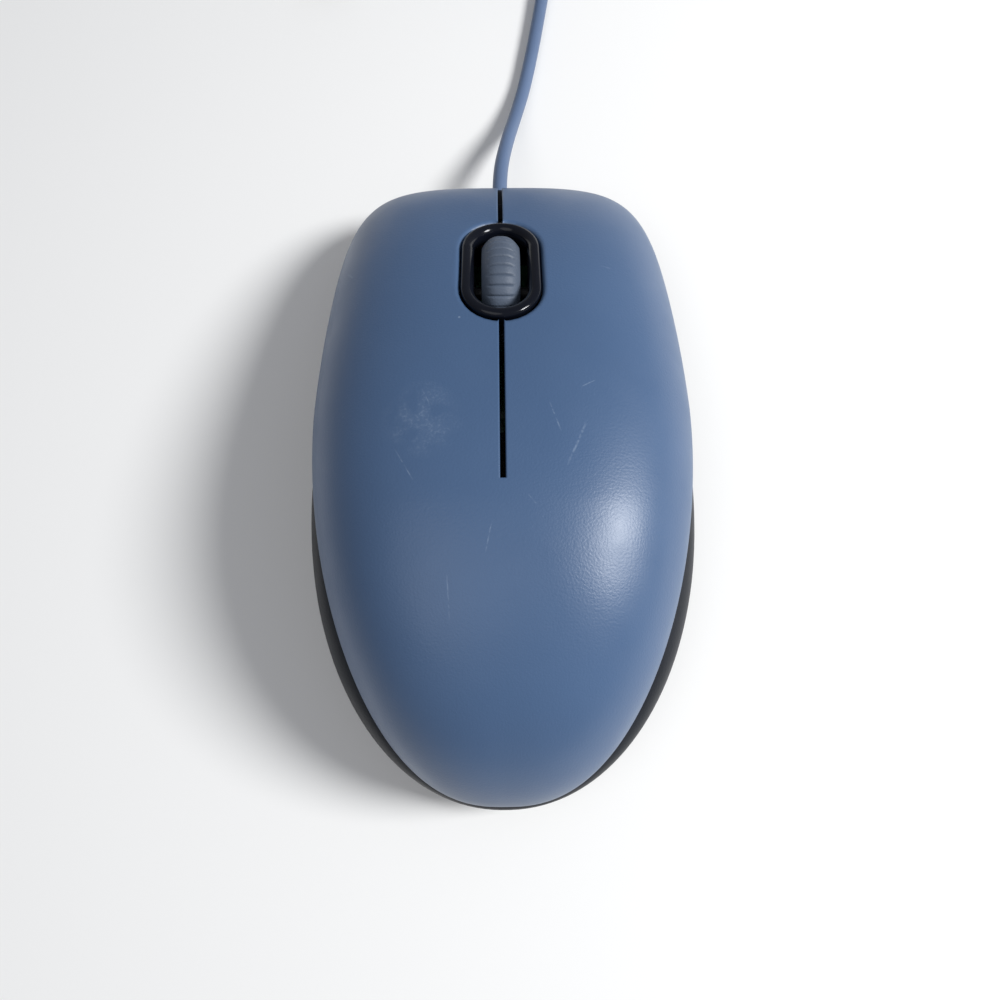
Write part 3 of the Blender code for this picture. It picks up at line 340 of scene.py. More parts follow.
def parting_height(y):
    if y >= PARTING_PEAK_Y:
        t = share_between(y, PARTING_PEAK_Y, FRONT_Y)
        return PARTING_PEAK - (PARTING_PEAK - PARTING_FRONT) * math.sin(math.pi / 2 * t) ** 2
    t = share_between(y, PARTING_PEAK_Y, REAR_Y)
    return PARTING_PEAK - (PARTING_PEAK - PARTING_REAR) * t ** 2


def crown_height(y):
    if y >= CROWN_PEAK_Y:
        t = share_between(y, CROWN_PEAK_Y, FRONT_Y)
        return PARTING_FRONT + (CROWN_PEAK - PARTING_FRONT) * (1 - t ** CROWN_FRONT_POWER) ** CROWN_FRONT_ROOT
    t = share_between(y, CROWN_PEAK_Y, COVER_REAR_Y)
    return PARTING_REAR + (CROWN_PEAK - PARTING_REAR) * (1 - t ** 2) ** 0.5


def dome_height(x, y):
    half = max(cover_half_width(y), 1e-6)
    power = DOME_POWER + DOME_POWER_GAIN * share_between(y, -0.02, 0.04)
    side = 1 - min(abs(x) / half, 1.0) ** power
    rise = max(crown_height(y) - parting_height(y), 0.0)
    return parting_height(y) + rise * side ** 0.5


def faces_of(geometry):
    return [item for item in geometry if isinstance(item, bmesh.types.BMFace)]


def punch(shape, inside, planes):
    """Cuts away the part of some faces that lies behind all the planes, given as (point, normal)."""
    for point, out in planes:
        touched = {item for face in inside for item in (*face.edges, *face.verts)}
        cut = bmesh.ops.bisect_plane(shape, geom=list(inside) + list(touched), dist=1e-8,
                                     plane_co=point, plane_no=out)
        inside = [face for face in faces_of(cut["geom"])
                  if (face.calc_center_median() - Vector(point)).dot(Vector(out)) < 0]
    bmesh.ops.delete(shape, geom=inside, context="FACES")


def extrude_rims(shape, rims):
    """Extrudes edges; gives the new edges along the rim and the set of new corners."""
    made = bmesh.ops.extrude_edge_only(shape, edges=rims)["geom"]
    fresh = {item for item in made if isinstance(item, bmesh.types.BMVert)}
    rims = [item for item in made if isinstance(item, bmesh.types.BMEdge)
            and item.verts[0] in fresh and item.verts[1] in fresh]
    return rims, fresh


def next_corner(vert, fresh):
    return next(edge.other_vert(vert) for edge in vert.link_edges if edge.other_vert(vert) in fresh)


def extrude_ring(shape, rims, ring):
    """Extrudes a closed rim; gives its new edges, and its corners in the order of the old ones."""
    rims, fresh = extrude_rims(shape, rims)
    return rims, [next_corner(vert, fresh) for vert in ring]


def start_ring(shape, segments):
    """A circle to extrude from: its edges, and its corners in order."""
    bmesh.ops.create_circle(shape, segments=segments, radius=1, cap_ends=False)
    shape.verts.ensure_lookup_table()
    return list(shape.edges), list(shape.verts)


def roll_edges(shape, radius_at, depth, steps=5):
    """Rolls every open edge over to a quarter round and turns it in by a depth."""
    shape.normal_update()
    rims = [edge for edge in shape.edges if edge.is_boundary]
    start = {}
    for edge in rims:
        face = edge.link_faces[0]
        along = (edge.verts[1].co - edge.verts[0].co).normalized()
        away = along.cross(face.normal)
        if away.dot(edge.verts[0].co - face.calc_center_median()) < 0:
            away = -away
        for vert in edge.verts:
            radius = radius_at((edge.verts[0].co + edge.verts[1].co) / 2)
            start.setdefault(vert, [vert.co.copy(), vert.normal.copy(), []])[2].append((away, radius))
    for vert, (place, normal, sides) in start.items():
        (first, r1), (second, r2) = sides[0], sides[-1]
        same = first.dot(second)
        if same > 0.8:
            out = (first + second).normalized() * (r1 + r2) / 2
        else:
            out = (first * (r1 - r2 * same) + second * (r2 - r1 * same)) / (1 - same ** 2)
        start[vert] = (place, normal, out, min(r1, r2))
    current = {vert: vert for vert in start}
    stages = [(math.sin(math.pi / 2 * i / steps), 1 - math.cos(math.pi / 2 * i / steps), 0.0)
              for i in range(1, steps + 1)] + [(1.0, 1.0, depth)]
    for out, down, further in stages:
        rims, fresh = extrude_rims(shape, rims)
        upcoming = {}
        for origin, vert in current.items():
            new = next_corner(vert, fresh)
            place, normal, reach, radius = start[origin]
            new.co = place + reach * out - normal * (radius * down + further)
            upcoming[origin] = new
        current = upcoming


def outline_planes(points):
    """Outward side planes of a convex outline given as points in order, anticlockwise."""
    planes = []
    for i, point in enumerate(points):
        along = points[(i + 1) % len(points)] - point
        if along.length > 1e-7:
            planes.append((point, Vector((along.y, -along.x, 0)).normalized()))
    return planes


def stadium(half, half_length, y, z=0.0, count=16):
    """Outline of a slot with round ends, anticlockwise."""
    points = []
    for end in (1, -1):
        for i in range(count + 1):
            turn = math.pi * i / count
            points.append(Vector((end * half * math.cos(turn),
                                  y + end * (half_length - half + half * math.sin(turn)), z)))
    return points


def to_object(name, shape, look, sharp=35.0, thickness=0.0):
    """Turns a bmesh into a smooth-shaded object at the origin."""
    mesh = bpy.data.meshes.new(name)
    shape.to_mesh(mesh)
    shape.free()
    made = bpy.data.objects.new(name, mesh)
    bpy.context.scene.collection.objects.link(made)
    if thickness:
        wall = made.modifiers.new("wall", "SOLIDIFY")
        wall.thickness = thickness
        wall.offset = -1
        bpy.context.view_layer.update()
        ready = made.evaluated_get(bpy.context.evaluated_depsgraph_get())
        solid = bpy.data.meshes.new_from_object(ready)
        made.modifiers.clear()
        made.data = solid
        mesh = solid
    mesh.materials.clear()
    mesh.materials.append(look)
    mesh.shade_smooth()
    mesh.set_sharp_from_angle(angle=math.radians(sharp))
    return made


def cover_sheet():
    """The whole outer skin of the cover with its slot, wheel opening and cord notch."""
    shape = bmesh.new()
    bmesh.ops.create_grid(shape, x_segments=COVER_COLUMNS, y_segments=COVER_ROWS, size=1)
    for vert in shape.verts:
        y = COVER_REAR_Y + (FRONT_Y - COVER_REAR_Y) * (0.5 - 0.5 * math.cos(math.pi * (vert.co.y + 1) / 2))
        x = cover_half_width(y) * math.sin(math.pi / 2 * vert.co.x)
        vert.co = (x, y, dome_height(x, y))
    bmesh.ops.remove_doubles(shape, verts=shape.verts, dist=1e-6)

    half = SLOT_HALF + LIP_RADIUS
    strip = [face for face in shape.faces if abs(face.calc_center_median().x) < 0.004]
    punch(shape, strip, [((half, 0, 0), (1, 0, 0)), ((-half, 0, 0), (-1, 0, 0)),
                         ((0, SLOT_REAR - LIP_RADIUS, 0), (0, -1, 0))])
    grow = BEZEL_GAP + RING_LIP_RADIUS
    ring = stadium(BEZEL_HALF + grow, BEZEL_HALF_LENGTH + grow, BEZEL_MIDDLE)
    near = [face for face in shape.faces
            if abs(face.calc_center_median().x) < 0.011
            and abs(face.calc_center_median().y - BEZEL_MIDDLE) < 0.016]
    punch(shape, near, outline_planes(ring))
    half = NOTCH_HALF + LIP_RADIUS
    nose = [face for face in shape.faces if face.calc_center_median().y > 0.05
            and abs(face.calc_center_median().x) < 0.006]
    punch(shape, nose, [((half, 0, 0), (1, 0, 0)), ((-half, 0, 0), (-1, 0, 0)),
                        ((0, 0, NOTCH_TOP + LIP_RADIUS), (0, 0, 1))])
    for vert in shape.verts:
        vert.co.z = dome_height(vert.co.x, vert.co.y)
    loose = [vert for vert in shape.verts if not vert.link_faces]
    bmesh.ops.delete(shape, geom=loose, context="VERTS")
    return shape


def lip_radius(place):
    """The edge is rolled wider around the wheel's ring than elsewhere."""
    if abs(place.x) < SLOT_HALF + LIP_RADIUS + 1e-6:
        return LIP_RADIUS
    reach = abs(place.y - BEZEL_MIDDLE) - (BEZEL_HALF_LENGTH - BEZEL_HALF)
    away = math.hypot(place.x, max(reach, 0.0)) - BEZEL_HALF
    return RING_LIP_RADIUS if 0 < away < BEZEL_GAP + RING_LIP_RADIUS + 0.0003 else LIP_RADIUS


def cover_piece(name, look, keep, thickness=COVER_SHEET):
    """One of the three parts of the cover: the faces whose centre passes a test."""
    shape = cover_sheet()
    roll_edges(shape, lip_radius, LIP_DEPTH)
    bmesh.ops.bisect_plane(shape, geom=[*shape.verts, *shape.edges, *shape.faces], dist=1e-8,
                           plane_co=(0, SEAM_Y, 0), plane_no=(0, 1, 0))
    away = [face for face in shape.faces if not keep(face.calc_center_median())]
    bmesh.ops.delete(shape, geom=away, context="FACES")
    bmesh.ops.recalc_face_normals(shape, faces=shape.faces)
    top = max(shape.faces, key=lambda face: face.calc_center_median().z)
    if top.normal.z < 0:
        bmesh.ops.reverse_faces(shape, faces=shape.faces)
    return to_object(name, shape, look, thickness=thickness)


COVER_BASE = (0.066, 0.120, 0.225)
COVER_DARK = (0.052, 0.098, 0.190)
SCRATCH_TINT = (0.24, 0.31, 0.42)
# Each scratch: middle x and y, length, width, and turn from the Y axis in degrees.
SCRATCHES = [
    (0.0105, -0.0035, 0.0080, 0.00022, -24),
    (0.0075, 0.0005, 0.0050, 0.00014, 18),
    (-0.0075, -0.0250, 0.0065, 0.00014, 3),
    (-0.0255, 0.0310, 0.0030, 0.00022, 38),
    (-0.0235, 0.0290, 0.0016, 0.00018, -52),
    (-0.0020, -0.0170, 0.0045, 0.00012, -12),
    (0.0170, 0.0290, 0.0020, 0.00020, 75),
    (0.0125, 0.0060, 0.0028, 0.00012, -60),
    (-0.0110, 0.0040, 0.0030, 0.00014, 25),
    (0.0040, -0.0120, 0.0026, 0.00012, 40),
    (-0.0138, -0.0065, 0.0059, 0.00012, 30),
]
SCUFF_MIDDLE = (-0.0115, 0.0005)
SCUFF_RADIUS = 0.0065


def worn_cover_plastic():
    """Slate-blue plastic: spark grain, slow tone changes, hairline scratches and a scuffed patch."""
    look, tree, shader = new_material("cover_plastic")
    place = add_node(tree, "ShaderNodeTexCoord").outputs["Object"]

    def noise(scale, detail=2.0, vector=place):
        made = add_node(tree, "ShaderNodeTexNoise",
                        [("Vector", vector), ("Scale", scale), ("Detail", detail)])
        return made.outputs["Fac"]

    def maths(operation, a, b=0.0):
        return add_node(tree, "ShaderNodeMath", [(0, a), (1, b)], operation=operation).outputs[0]

    def band(value, low, high):
        made = add_node(tree, "ShaderNodeMapRange", [("Value", value), ("From Min", low), ("From Max", high)])
        return made.outputs["Result"]

    def mixed(factor, a, b):
        made = add_node(tree, "ShaderNodeMix", [("Factor", factor), ("A", a), ("B", b)], data_type="RGBA")
        return made.outputs["Result"]

    colour = mixed(noise(45.0, 3.0), (*COVER_DARK, 1), (*COVER_BASE, 1))
    marks = None
    for x, y, length, width, turn in SCRATCHES:
        turned = add_node(tree, "ShaderNodeMapping", [("Vector", place), ("Location", (x, y, 0)),
                                                      ("Rotation", (0, 0, math.radians(turn)))],
                          vector_type="TEXTURE")
        parts = add_node(tree, "ShaderNodeSeparateXYZ", [("Vector", turned.outputs[0])])
        across = maths("ABSOLUTE", parts.outputs["X"])
        along = maths("ABSOLUTE", parts.outputs["Y"])
        line = maths("MULTIPLY", band(across, width, width * 0.25), band(along, length / 2, length / 4))
        marks = line if marks is None else maths("MAXIMUM", marks, line)
    broken = band(noise(1400.0), 0.35, 0.60)
    marks = maths("MULTIPLY", maths("MULTIPLY", marks, broken), 0.36)

    patch = add_node(tree, "ShaderNodeMapping", [("Vector", place), ("Location", (*SCUFF_MIDDLE, 0)),
                                                 ("Scale", (SCUFF_RADIUS, SCUFF_RADIUS, 1.0))],
                     vector_type="TEXTURE")
    reach = add_node(tree, "ShaderNodeVectorMath", [(0, patch.outputs[0])], operation="LENGTH")
    specks = maths("ADD", maths("MULTIPLY", band(noise(2500.0, 3.0), 0.50, 0.66), 0.30), 0.12)
    ragged = maths("MULTIPLY", band(reach.outputs["Value"], 1.0, 0.1), band(noise(330.0, 3.0), 0.42, 0.62))
    scuff = maths("MULTIPLY", ragged, specks)
    cells = add_node(tree, "ShaderNodeTexVoronoi", [("Vector", place), ("Scale", 190.0)])
    dust = maths("MULTIPLY", band(cells.outputs["Distance"], 0.045, 0.02), band(noise(60.0), 0.56, 0.62))
    light = maths("MAXIMUM", maths("MAXIMUM", marks, scuff), maths("MULTIPLY", dust, 0.5))
    tree.links.new(mixed(light, colour, (*SCRATCH_TINT, 1)), shader.inputs["Base Color"])

    gloss = add_node(tree, "ShaderNodeMapRange", [("Value", noise(120.0, 3.0)), ("From Min", 0.3),
                                                  ("From Max", 0.7), ("To Min", 0.36), ("To Max", 0.43)])
    rough = maths("ADD", gloss.outputs["Result"], maths("MULTIPLY", light, 0.25))
    tree.links.new(rough, shader.inputs["Roughness"])
    grain = maths("ADD", noise(2900.0, 2.5), maths("MULTIPLY", light, -0.6))
    bump = add_node(tree, "ShaderNodeBump", [("Height", grain), ("Distance", 0.00006), ("Strength", 0.5)])
    tree.links.new(bump.outputs["Normal"], shader.inputs["Normal"])
    shader.inputs["Specular IOR Level"].default_value = 0.5
    return look


COVER_PLASTIC = worn_cover_plastic()
palm = cover_piece("cover_palm", COVER_PLASTIC, lambda place: place.y < SEAM_Y)
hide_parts("palm_cover")
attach(palm, "case")
for side_name, side in (("left", -1), ("right", 1)):
    button = cover_piece(f"cover_{side_name}", COVER_PLASTIC,
                         lambda place, side=side: place.y > SEAM_Y and place.x * side > 0)
    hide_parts(f"{side_name}_button")
    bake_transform(button)

# ---- Lower shell ----------------------------------------------------------------
# A dark satin moulding that the cover screws down to, with a stepped lip inside the parting line.
# Its floor has the sensor window and carries the two glide feet and the label.

FLOOR_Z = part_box("base_shell")[0].z
BASE_FRONT_Y = FRONT_Y - 0.0002
TUCK_IN = 0.0045
BASE_TAPER = 0.14
BASE_REAR_POWER = 2.2
BASE_REAR_ROOT = 1 / 2.1
RIM_INSET = 0.00045
BELLY_SHARE = 0.7
RIM_GAP = 0.0011
BUTTON_TRAVEL = math.tan(math.radians(0.5))
HINGE_Y = -0.009
RIM_SLOPE = math.radians(30)
SHELL_SEGMENTS = 176
SHELL_WALL = 0.0012
WINDOW_HALF = (0.005, 0.006)
SENSOR_Y = 0.002
INNER_LIP = 0.0021
LIP_RISE = 0.0011


def base_half_width(y):
    return half_width(y, BASE_HALF, BASE_WIDEST_Y, BASE_FRONT_Y, REAR_Y, BASE_TAPER,
                      BASE_REAR_POWER, BASE_REAR_ROOT)


def rim_height(y):
    return parting_height(y) - RIM_GAP - max(y - HINGE_Y, 0.0) * BUTTON_TRAVEL


def round_place(turn, width_of, rear, front, inset=0.0):
    """Point of an outline at a turn, moved in along its normal."""
    def plain(angle):
        y = rear + (front - rear) * (0.5 - 0.5 * math.cos(angle))
        return Vector((math.copysign(width_of(y), math.sin(angle)), y))
    here = plain(turn)
    if not inset:
        return here
    along = plain(turn + 0.01) - plain(turn - 0.01)
    inward = Vector((-along.y, along.x)).normalized()
    if inward.dot(here) > 0:
        inward = -inward
    return here + inward * inset


def shell_stages():
    """From the inner lip to the floor: (share out to the belly, inset, height between the levels)."""
    stages = [(0.0, INNER_LIP, "lip"), (0.0, INNER_LIP, "rim"), (0.0, RIM_INSET, "rim")]
    for i in range(9):
        turn = RIM_SLOPE + (math.pi / 2 - RIM_SLOPE) * i / 8
        out = (math.sin(turn) - 0.5) / 0.5
        stages.append((out, 0.0, math.cos(turn) / math.cos(RIM_SLOPE)))
    for i in range(1, 11):
        turn = math.pi / 2 * i / 10
        stages.append((1.0, TUCK_IN * (1 - math.cos(turn)), -math.sin(turn)))
    return stages


def make_lower_shell():
    shape = bmesh.new()
    rims, ring = start_ring(shape, SHELL_SEGMENTS)
    turns = [2 * math.pi * (i + 0.5) / SHELL_SEGMENTS for i in range(SHELL_SEGMENTS)]
    for k, (out, inset, level) in enumerate(shell_stages()):
        if k:
            rims, ring = extrude_ring(shape, rims, ring)
        for turn, vert in zip(turns, ring):
            near = round_place(turn, cover_half_width, COVER_REAR_Y, FRONT_Y, inset if out == 0 else 0)
            far = round_place(turn, base_half_width, REAR_Y, BASE_FRONT_Y, inset if out == 1 else 0)
            flat = near.lerp(far, out)
            y = round_place(turn, cover_half_width, COVER_REAR_Y, FRONT_Y).y
            belly = BELLY_SHARE * parting_height(y)
            if level == "lip":
                z = rim_height(y) + LIP_RISE
            elif level == "rim":
                z = rim_height(y)
            elif level >= 0:
                z = belly + (rim_height(y) - belly) * level
            else:
                z = belly + (FLOOR_Z - belly) * -level
            vert.co = (flat.x, flat.y, z)
    for shrink in (0.8, 0.55, 0.25):
        rims, ring = extrude_ring(shape, rims, ring)
        for turn, vert in zip(turns, ring):
            flat = round_place(turn, base_half_width, REAR_Y, BASE_FRONT_Y, TUCK_IN)
            vert.co = (flat.x * shrink, SENSOR_Y + (flat.y - SENSOR_Y) * shrink, FLOOR_Z)
    bmesh.ops.contextual_create(shape, geom=rims)
    floor = [face for face in shape.faces if abs(face.calc_center_median().z - FLOOR_Z) < 1e-5]
    half_x, half_y = WINDOW_HALF
    punch(shape, floor, [((half_x, 0, 0), (1, 0, 0)), ((-half_x, 0, 0), (-1, 0, 0)),
                         ((0, SENSOR_Y + half_y, 0), (0, 1, 0)), ((0, SENSOR_Y - half_y, 0), (0, -1, 0))])
    bmesh.ops.recalc_face_normals(shape, faces=shape.faces)
    side = max(shape.faces, key=lambda face: face.calc_center_median().x)
    if side.normal.x < 0:
        bmesh.ops.reverse_faces(shape, faces=shape.faces)
    return to_object("lower_shell", shape, BASE_PLASTIC, thickness=SHELL_WALL)


BASE_PLASTIC = moulded("base_plastic", (0.010, 0.012, 0.017), 0.46, grain=2400.0, grain_depth=0.00005,
                       specular=0.3)
lower = make_lower_shell()
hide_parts("base_shell")
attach(lower, "case")

# ---- Bezel ----------------------------------------------------------------------
# A polished black ring set in the cover around the wheel, nearly flat with rounded edges.
# It stands on four legs on the board, so it stays put when a button is pressed.

BEZEL_INNER_HALF = 0.00425
BEZEL_INNER_LENGTH = 0.0087
BEZEL_FOOT_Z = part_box("wheel_bezel")[0].z
# Across the ring: share from the outer to the inner outline, and height over the crown.
BEZEL_SECTION = [
    (0.35, -0.0045), (0.0, -0.0045), (0.0, -0.0010), (0.0, -0.00035), (0.03, -0.00005), (0.10, 0.00018),
    (0.25, 0.00034), (0.45, 0.00038), (0.65, 0.00026), (0.82, -0.00004), (0.92, -0.0004),
    (0.98, -0.0009), (1.0, -0.0014), (1.0, -0.0017), (0.4, -0.0023),
]
LEG_HALF = 0.0007
LEG_TOP_DEPTH = 0.0035
RING_COUNT = 36


def make_bezel():
    shape = bmesh.new()
    outer = stadium(BEZEL_HALF, BEZEL_HALF_LENGTH, BEZEL_MIDDLE, count=RING_COUNT)
    inner = stadium(BEZEL_INNER_HALF, BEZEL_INNER_LENGTH, BEZEL_MIDDLE, count=RING_COUNT)
    first_rims, ring = start_ring(shape, len(outer))
    rims = first_rims
    for k, (share, rise) in enumerate(BEZEL_SECTION):
        if k:
            rims, ring = extrude_ring(shape, rims, ring)
        for far, near, vert in zip(outer, inner, ring):
            flat = far.lerp(near, share)
            vert.co = (flat.x, flat.y, crown_height(far.y) + rise)
    bmesh.ops.bridge_loops(shape, edges=first_rims + rims)
    x = (BEZEL_HALF + BEZEL_INNER_HALF) / 2
    reach = BEZEL_HALF_LENGTH - BEZEL_HALF + 2 * LEG_HALF
    for across in (-1, 1):
        for end in (-1, 1):
            y = BEZEL_MIDDLE + end * reach
            top = crown_height(y + end * 2 * LEG_HALF) - LEG_TOP_DEPTH
            place = Matrix.Translation((across * x, y, (BEZEL_FOOT_Z + top) / 2))
            size = Matrix.Diagonal((2 * LEG_HALF, 4 * LEG_HALF, top - BEZEL_FOOT_Z, 1))
            bmesh.ops.create_cube(shape, size=1, matrix=place @ size)
    bmesh.ops.recalc_face_normals(shape, faces=shape.faces)
    return to_object("bezel", shape, GLOSS_BLACK, sharp=50)


GLOSS_BLACK = moulded("gloss_black", (0.004, 0.005, 0.009), 0.14, grain=900.0, grain_depth=0.000004,
                      wear=0.06, specular=0.25)
bezel = make_bezel()
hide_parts("wheel_bezel")
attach(bezel, "case")

# ---- Wheel ----------------------------------------------------------------------
# A grey rubber tyre with a crowned tread and fine cross grooves, pushed on a plain black hub.
# The hub's axle turns in the encoder on the left and rests on the middle switch on the right.

TYRE_LOW, TYRE_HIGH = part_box("wheel_tyre")
WHEEL_MIDDLE = (TYRE_LOW + TYRE_HIGH) / 2
WHEEL_RADIUS = (TYRE_HIGH.z - TYRE_LOW.z) / 2
WHEEL_HALF = (TYRE_HIGH.x - TYRE_LOW.x) / 2
TYRE_THICKNESS = 0.0022
TYRE_INNER = WHEEL_RADIUS - TYRE_THICKNESS
TREAD_CLEARANCE = 0.00005
SHOULDER_DROP = 0.0019
SHOULDER_POWER = 2.6
GROOVES = 34
GROOVE_STEPS = 10
GROOVE_DEPTH = 0.00022
GROOVE_BAND = 0.0019


def tread_radius(x):
    share = abs(x) / WHEEL_HALF
    return WHEEL_RADIUS - TREAD_CLEARANCE - SHOULDER_DROP * share ** SHOULDER_POWER


def make_tyre():
    shape = bmesh.new()
    across = [WHEEL_HALF * math.sin(math.pi / 2 * i / 12) for i in range(-12, 13)]
    profile = [(x, tread_radius(x) - (0.00025 if abs(x) > WHEEL_HALF * 0.999 else 0)) for x in across]
    profile += [(WHEEL_HALF, TYRE_INNER), (-WHEEL_HALF, TYRE_INNER)]
    verts = [shape.verts.new((x, WHEEL_MIDDLE.y, WHEEL_MIDDLE.z + radius)) for x, radius in profile]
    edges = [shape.edges.new((verts[i], verts[(i + 1) % len(verts)])) for i in range(len(verts))]
    bmesh.ops.spin(shape, geom=verts + edges, cent=WHEEL_MIDDLE, axis=(1, 0, 0), angle=2 * math.pi,
                   steps=GROOVES * GROOVE_STEPS, use_merge=True, use_duplicate=False)
    for vert in shape.verts:
        arm = vert.co - WHEEL_MIDDLE
        x, arm.x = arm.x, 0
        if arm.length < TYRE_INNER + 0.0004:
            continue
        phase = (math.atan2(arm.y, arm.z) / (2 * math.pi) * GROOVES) % 1.0
        in_groove = max(0.0, 1 - min(phase, 1 - phase) * GROOVE_STEPS / 1.3)
        fade = share_between(GROOVE_BAND + 0.0004 - abs(x), 0.0, 0.0004)
        vert.co -= arm.normalized() * GROOVE_DEPTH * in_groove * fade
    bmesh.ops.recalc_face_normals(shape, faces=shape.faces)
    return to_object("tyre", shape, WHEEL_RUBBER, sharp=60)


WHEEL_RUBBER = moulded("wheel_rubber", (0.075, 0.098, 0.140), 0.60, grain=3500.0, grain_depth=0.00008,
                       tint=0.22, wear=0.16)
tyre = make_tyre()
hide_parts("wheel_tyre")
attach(tyre, "wheel")

# ---- Cord bushing ---------------------------------------------------------------
# A black rubber block on the base grips the cord, and its thin sleeve reaches the cover's front notch.

GLAND_LOW, GLAND_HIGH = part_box("cable_grommet")
SLEEVE_RADIUS = 0.00158
SLEEVE_END = 0.0555
BUSHING_SEGMENTS = 48
BORE_CLEARANCE = 0.00003
BLOCK_EDGE = 0.0003
COLLAR_RADIUS = 0.0019


def squircle(half_x, half_z, turn, power):
    """Point of a rounded rectangle."""
    c, s = math.cos(turn), math.sin(turn)
    reach = (abs(c) ** power + abs(s) ** power) ** (-1 / power)
    return half_x * c * reach, half_z * s * reach


def make_bushing():
    shape = bmesh.new()
    middle = (GLAND_LOW + GLAND_HIGH) / 2
    half_x, half_z = (GLAND_HIGH.x - GLAND_LOW.x) / 2, (GLAND_HIGH.z - GLAND_LOW.z) / 2
    bore = CORD_DIAMETER / 2 + BORE_CLEARANCE
    small_x, small_z = half_x - BLOCK_EDGE, half_z - BLOCK_EDGE
    stages = [(GLAND_LOW.y, bore, bore, 2), (GLAND_LOW.y, small_x, small_z, 8),
              (GLAND_LOW.y + BLOCK_EDGE, half_x, half_z, 8), (GLAND_HIGH.y - BLOCK_EDGE, half_x, half_z, 8),
              (GLAND_HIGH.y, small_x, small_z, 8), (GLAND_HIGH.y, COLLAR_RADIUS, COLLAR_RADIUS, 2),
              (GLAND_HIGH.y + 0.0004, SLEEVE_RADIUS, SLEEVE_RADIUS, 2),
              (SLEEVE_END, SLEEVE_RADIUS, SLEEVE_RADIUS, 2), (SLEEVE_END + 0.0001, bore, bore, 2)]
    first_rims, ring = start_ring(shape, BUSHING_SEGMENTS)
    rims = first_rims
    for k, (y, wide, high, power) in enumerate(stages):
        if k:
            rims, ring = extrude_ring(shape, rims, ring)
        for i, vert in enumerate(ring):
            x, z = squircle(wide, high, 2 * math.pi * i / len(ring), power)
            vert.co = (middle.x + x, y, CORD_EXIT[2] + z)
    bmesh.ops.bridge_loops(shape, edges=first_rims + rims)
    bmesh.ops.recalc_face_normals(shape, faces=shape.faces)
    return to_object("cord_bushing", shape, BASE_PLASTIC, sharp=50)


bushing = make_bushing()
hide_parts("cable_grommet")
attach(bushing, "case")

# ---- Plug and tie ---------------------------------------------------------------
# The plug is a soft grey-blue grip moulded over a folded steel shell, with a short tapered relief.
# The tie is a flat black strap, closed in a flattened loop around one side of the coil.

GRIP_LOW, GRIP_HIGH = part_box("usb_plug_body")
GRIP_MIDDLE = (GRIP_LOW + GRIP_HIGH) / 2
SHELL_LOW, SHELL_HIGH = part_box("usb_plug_shell")
TIE_LOW, TIE_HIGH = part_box("cable_tie")
GRIP_SQUARENESS = 5.0
RELIEF_LENGTH = 0.0075
RIBS = 6
RIB_DEPTH = 0.0005
RIB_SHALLOW = 0.0001
GRIP_SEGMENTS = 72
TIE_SQUARENESS = 7
TIE_STEPS = 4
TIE_SHEET = 0.0005


def grip_stages():
    """(place along the grip, half width, half height, squareness) from the shell to the cord."""
    half_x = (GRIP_HIGH.x - GRIP_LOW.x) / 2
    half_z = (GRIP_HIGH.z - GRIP_LOW.z) / 2
    front, rear = GRIP_LOW.y, GRIP_HIGH.y
    room_x = (SHELL_HIGH.x - SHELL_LOW.x) / 2 + 0.0001
    room_z = (SHELL_HIGH.z - SHELL_LOW.z) / 2 + 0.0001
    stages = [(front + 0.004, room_x, room_z, 14), (front + 0.0002, room_x, room_z, 14),
              (front, room_x + 0.0003, room_z + 0.0003, 12), (front, half_x - 0.0009, half_z - 0.0009, 6),
              (front + 0.0003, half_x - 0.0003, half_z - 0.0003, GRIP_SQUARENESS),
              (front + 0.001, half_x, half_z, GRIP_SQUARENESS)]
    body_end = rear - RELIEF_LENGTH
    ribs_start = front + 0.0075
    pitch = (body_end - 0.003 - ribs_start) / RIBS
    for i in range(RIBS):
        y = ribs_start + i * pitch
        stages += [(y, half_x, half_z, GRIP_SQUARENESS),
                   (y + 0.2 * pitch, half_x - RIB_DEPTH, half_z - RIB_SHALLOW, GRIP_SQUARENESS),
                   (y + 0.45 * pitch, half_x - RIB_DEPTH, half_z - RIB_SHALLOW, GRIP_SQUARENESS),
                   (y + 0.65 * pitch, half_x, half_z, GRIP_SQUARENESS)]
    stages += [(body_end - 0.002, half_x, half_z, GRIP_SQUARENESS),
               (body_end - 0.0006, half_x - 0.0007, half_z - 0.0006, 4),
               (body_end, half_x - 0.0022, half_z - 0.0014, 3), (body_end + 0.0002, 0.0032, 0.0024, 2.4)]
    relief = [(0.0, 0.0027), (0.25, 0.0025), (0.3, 0.0021), (0.42, 0.0021), (0.47, 0.00235), (0.62, 0.0022),
              (0.67, 0.0019), (0.8, 0.0019), (0.85, 0.0020), (0.97, 0.0019), (1.0, 0.0016)]
    for share, radius in relief:
        stages.append((body_end + 0.0004 + (RELIEF_LENGTH - 0.0004) * share, radius, radius, 2))
    return stages


def make_grip():
    shape = bmesh.new()
    first_rims, ring = start_ring(shape, GRIP_SEGMENTS)
    rims = first_rims
    for k, (y, half_x, half_z, power) in enumerate(grip_stages()):
        if k:
            rims, ring = extrude_ring(shape, rims, ring)
        for i, vert in enumerate(ring):
            x, z = squircle(half_x, half_z, 2 * math.pi * i / len(ring), power)
            vert.co = (GRIP_MIDDLE.x + x, y, GRIP_MIDDLE.z + z)
    bmesh.ops.contextual_create(shape, geom=first_rims)
    bmesh.ops.contextual_create(shape, geom=rims)
    bmesh.ops.recalc_face_normals(shape, faces=shape.faces)
    return to_object("plug_grip", shape, CORD_JACKET, sharp=50)


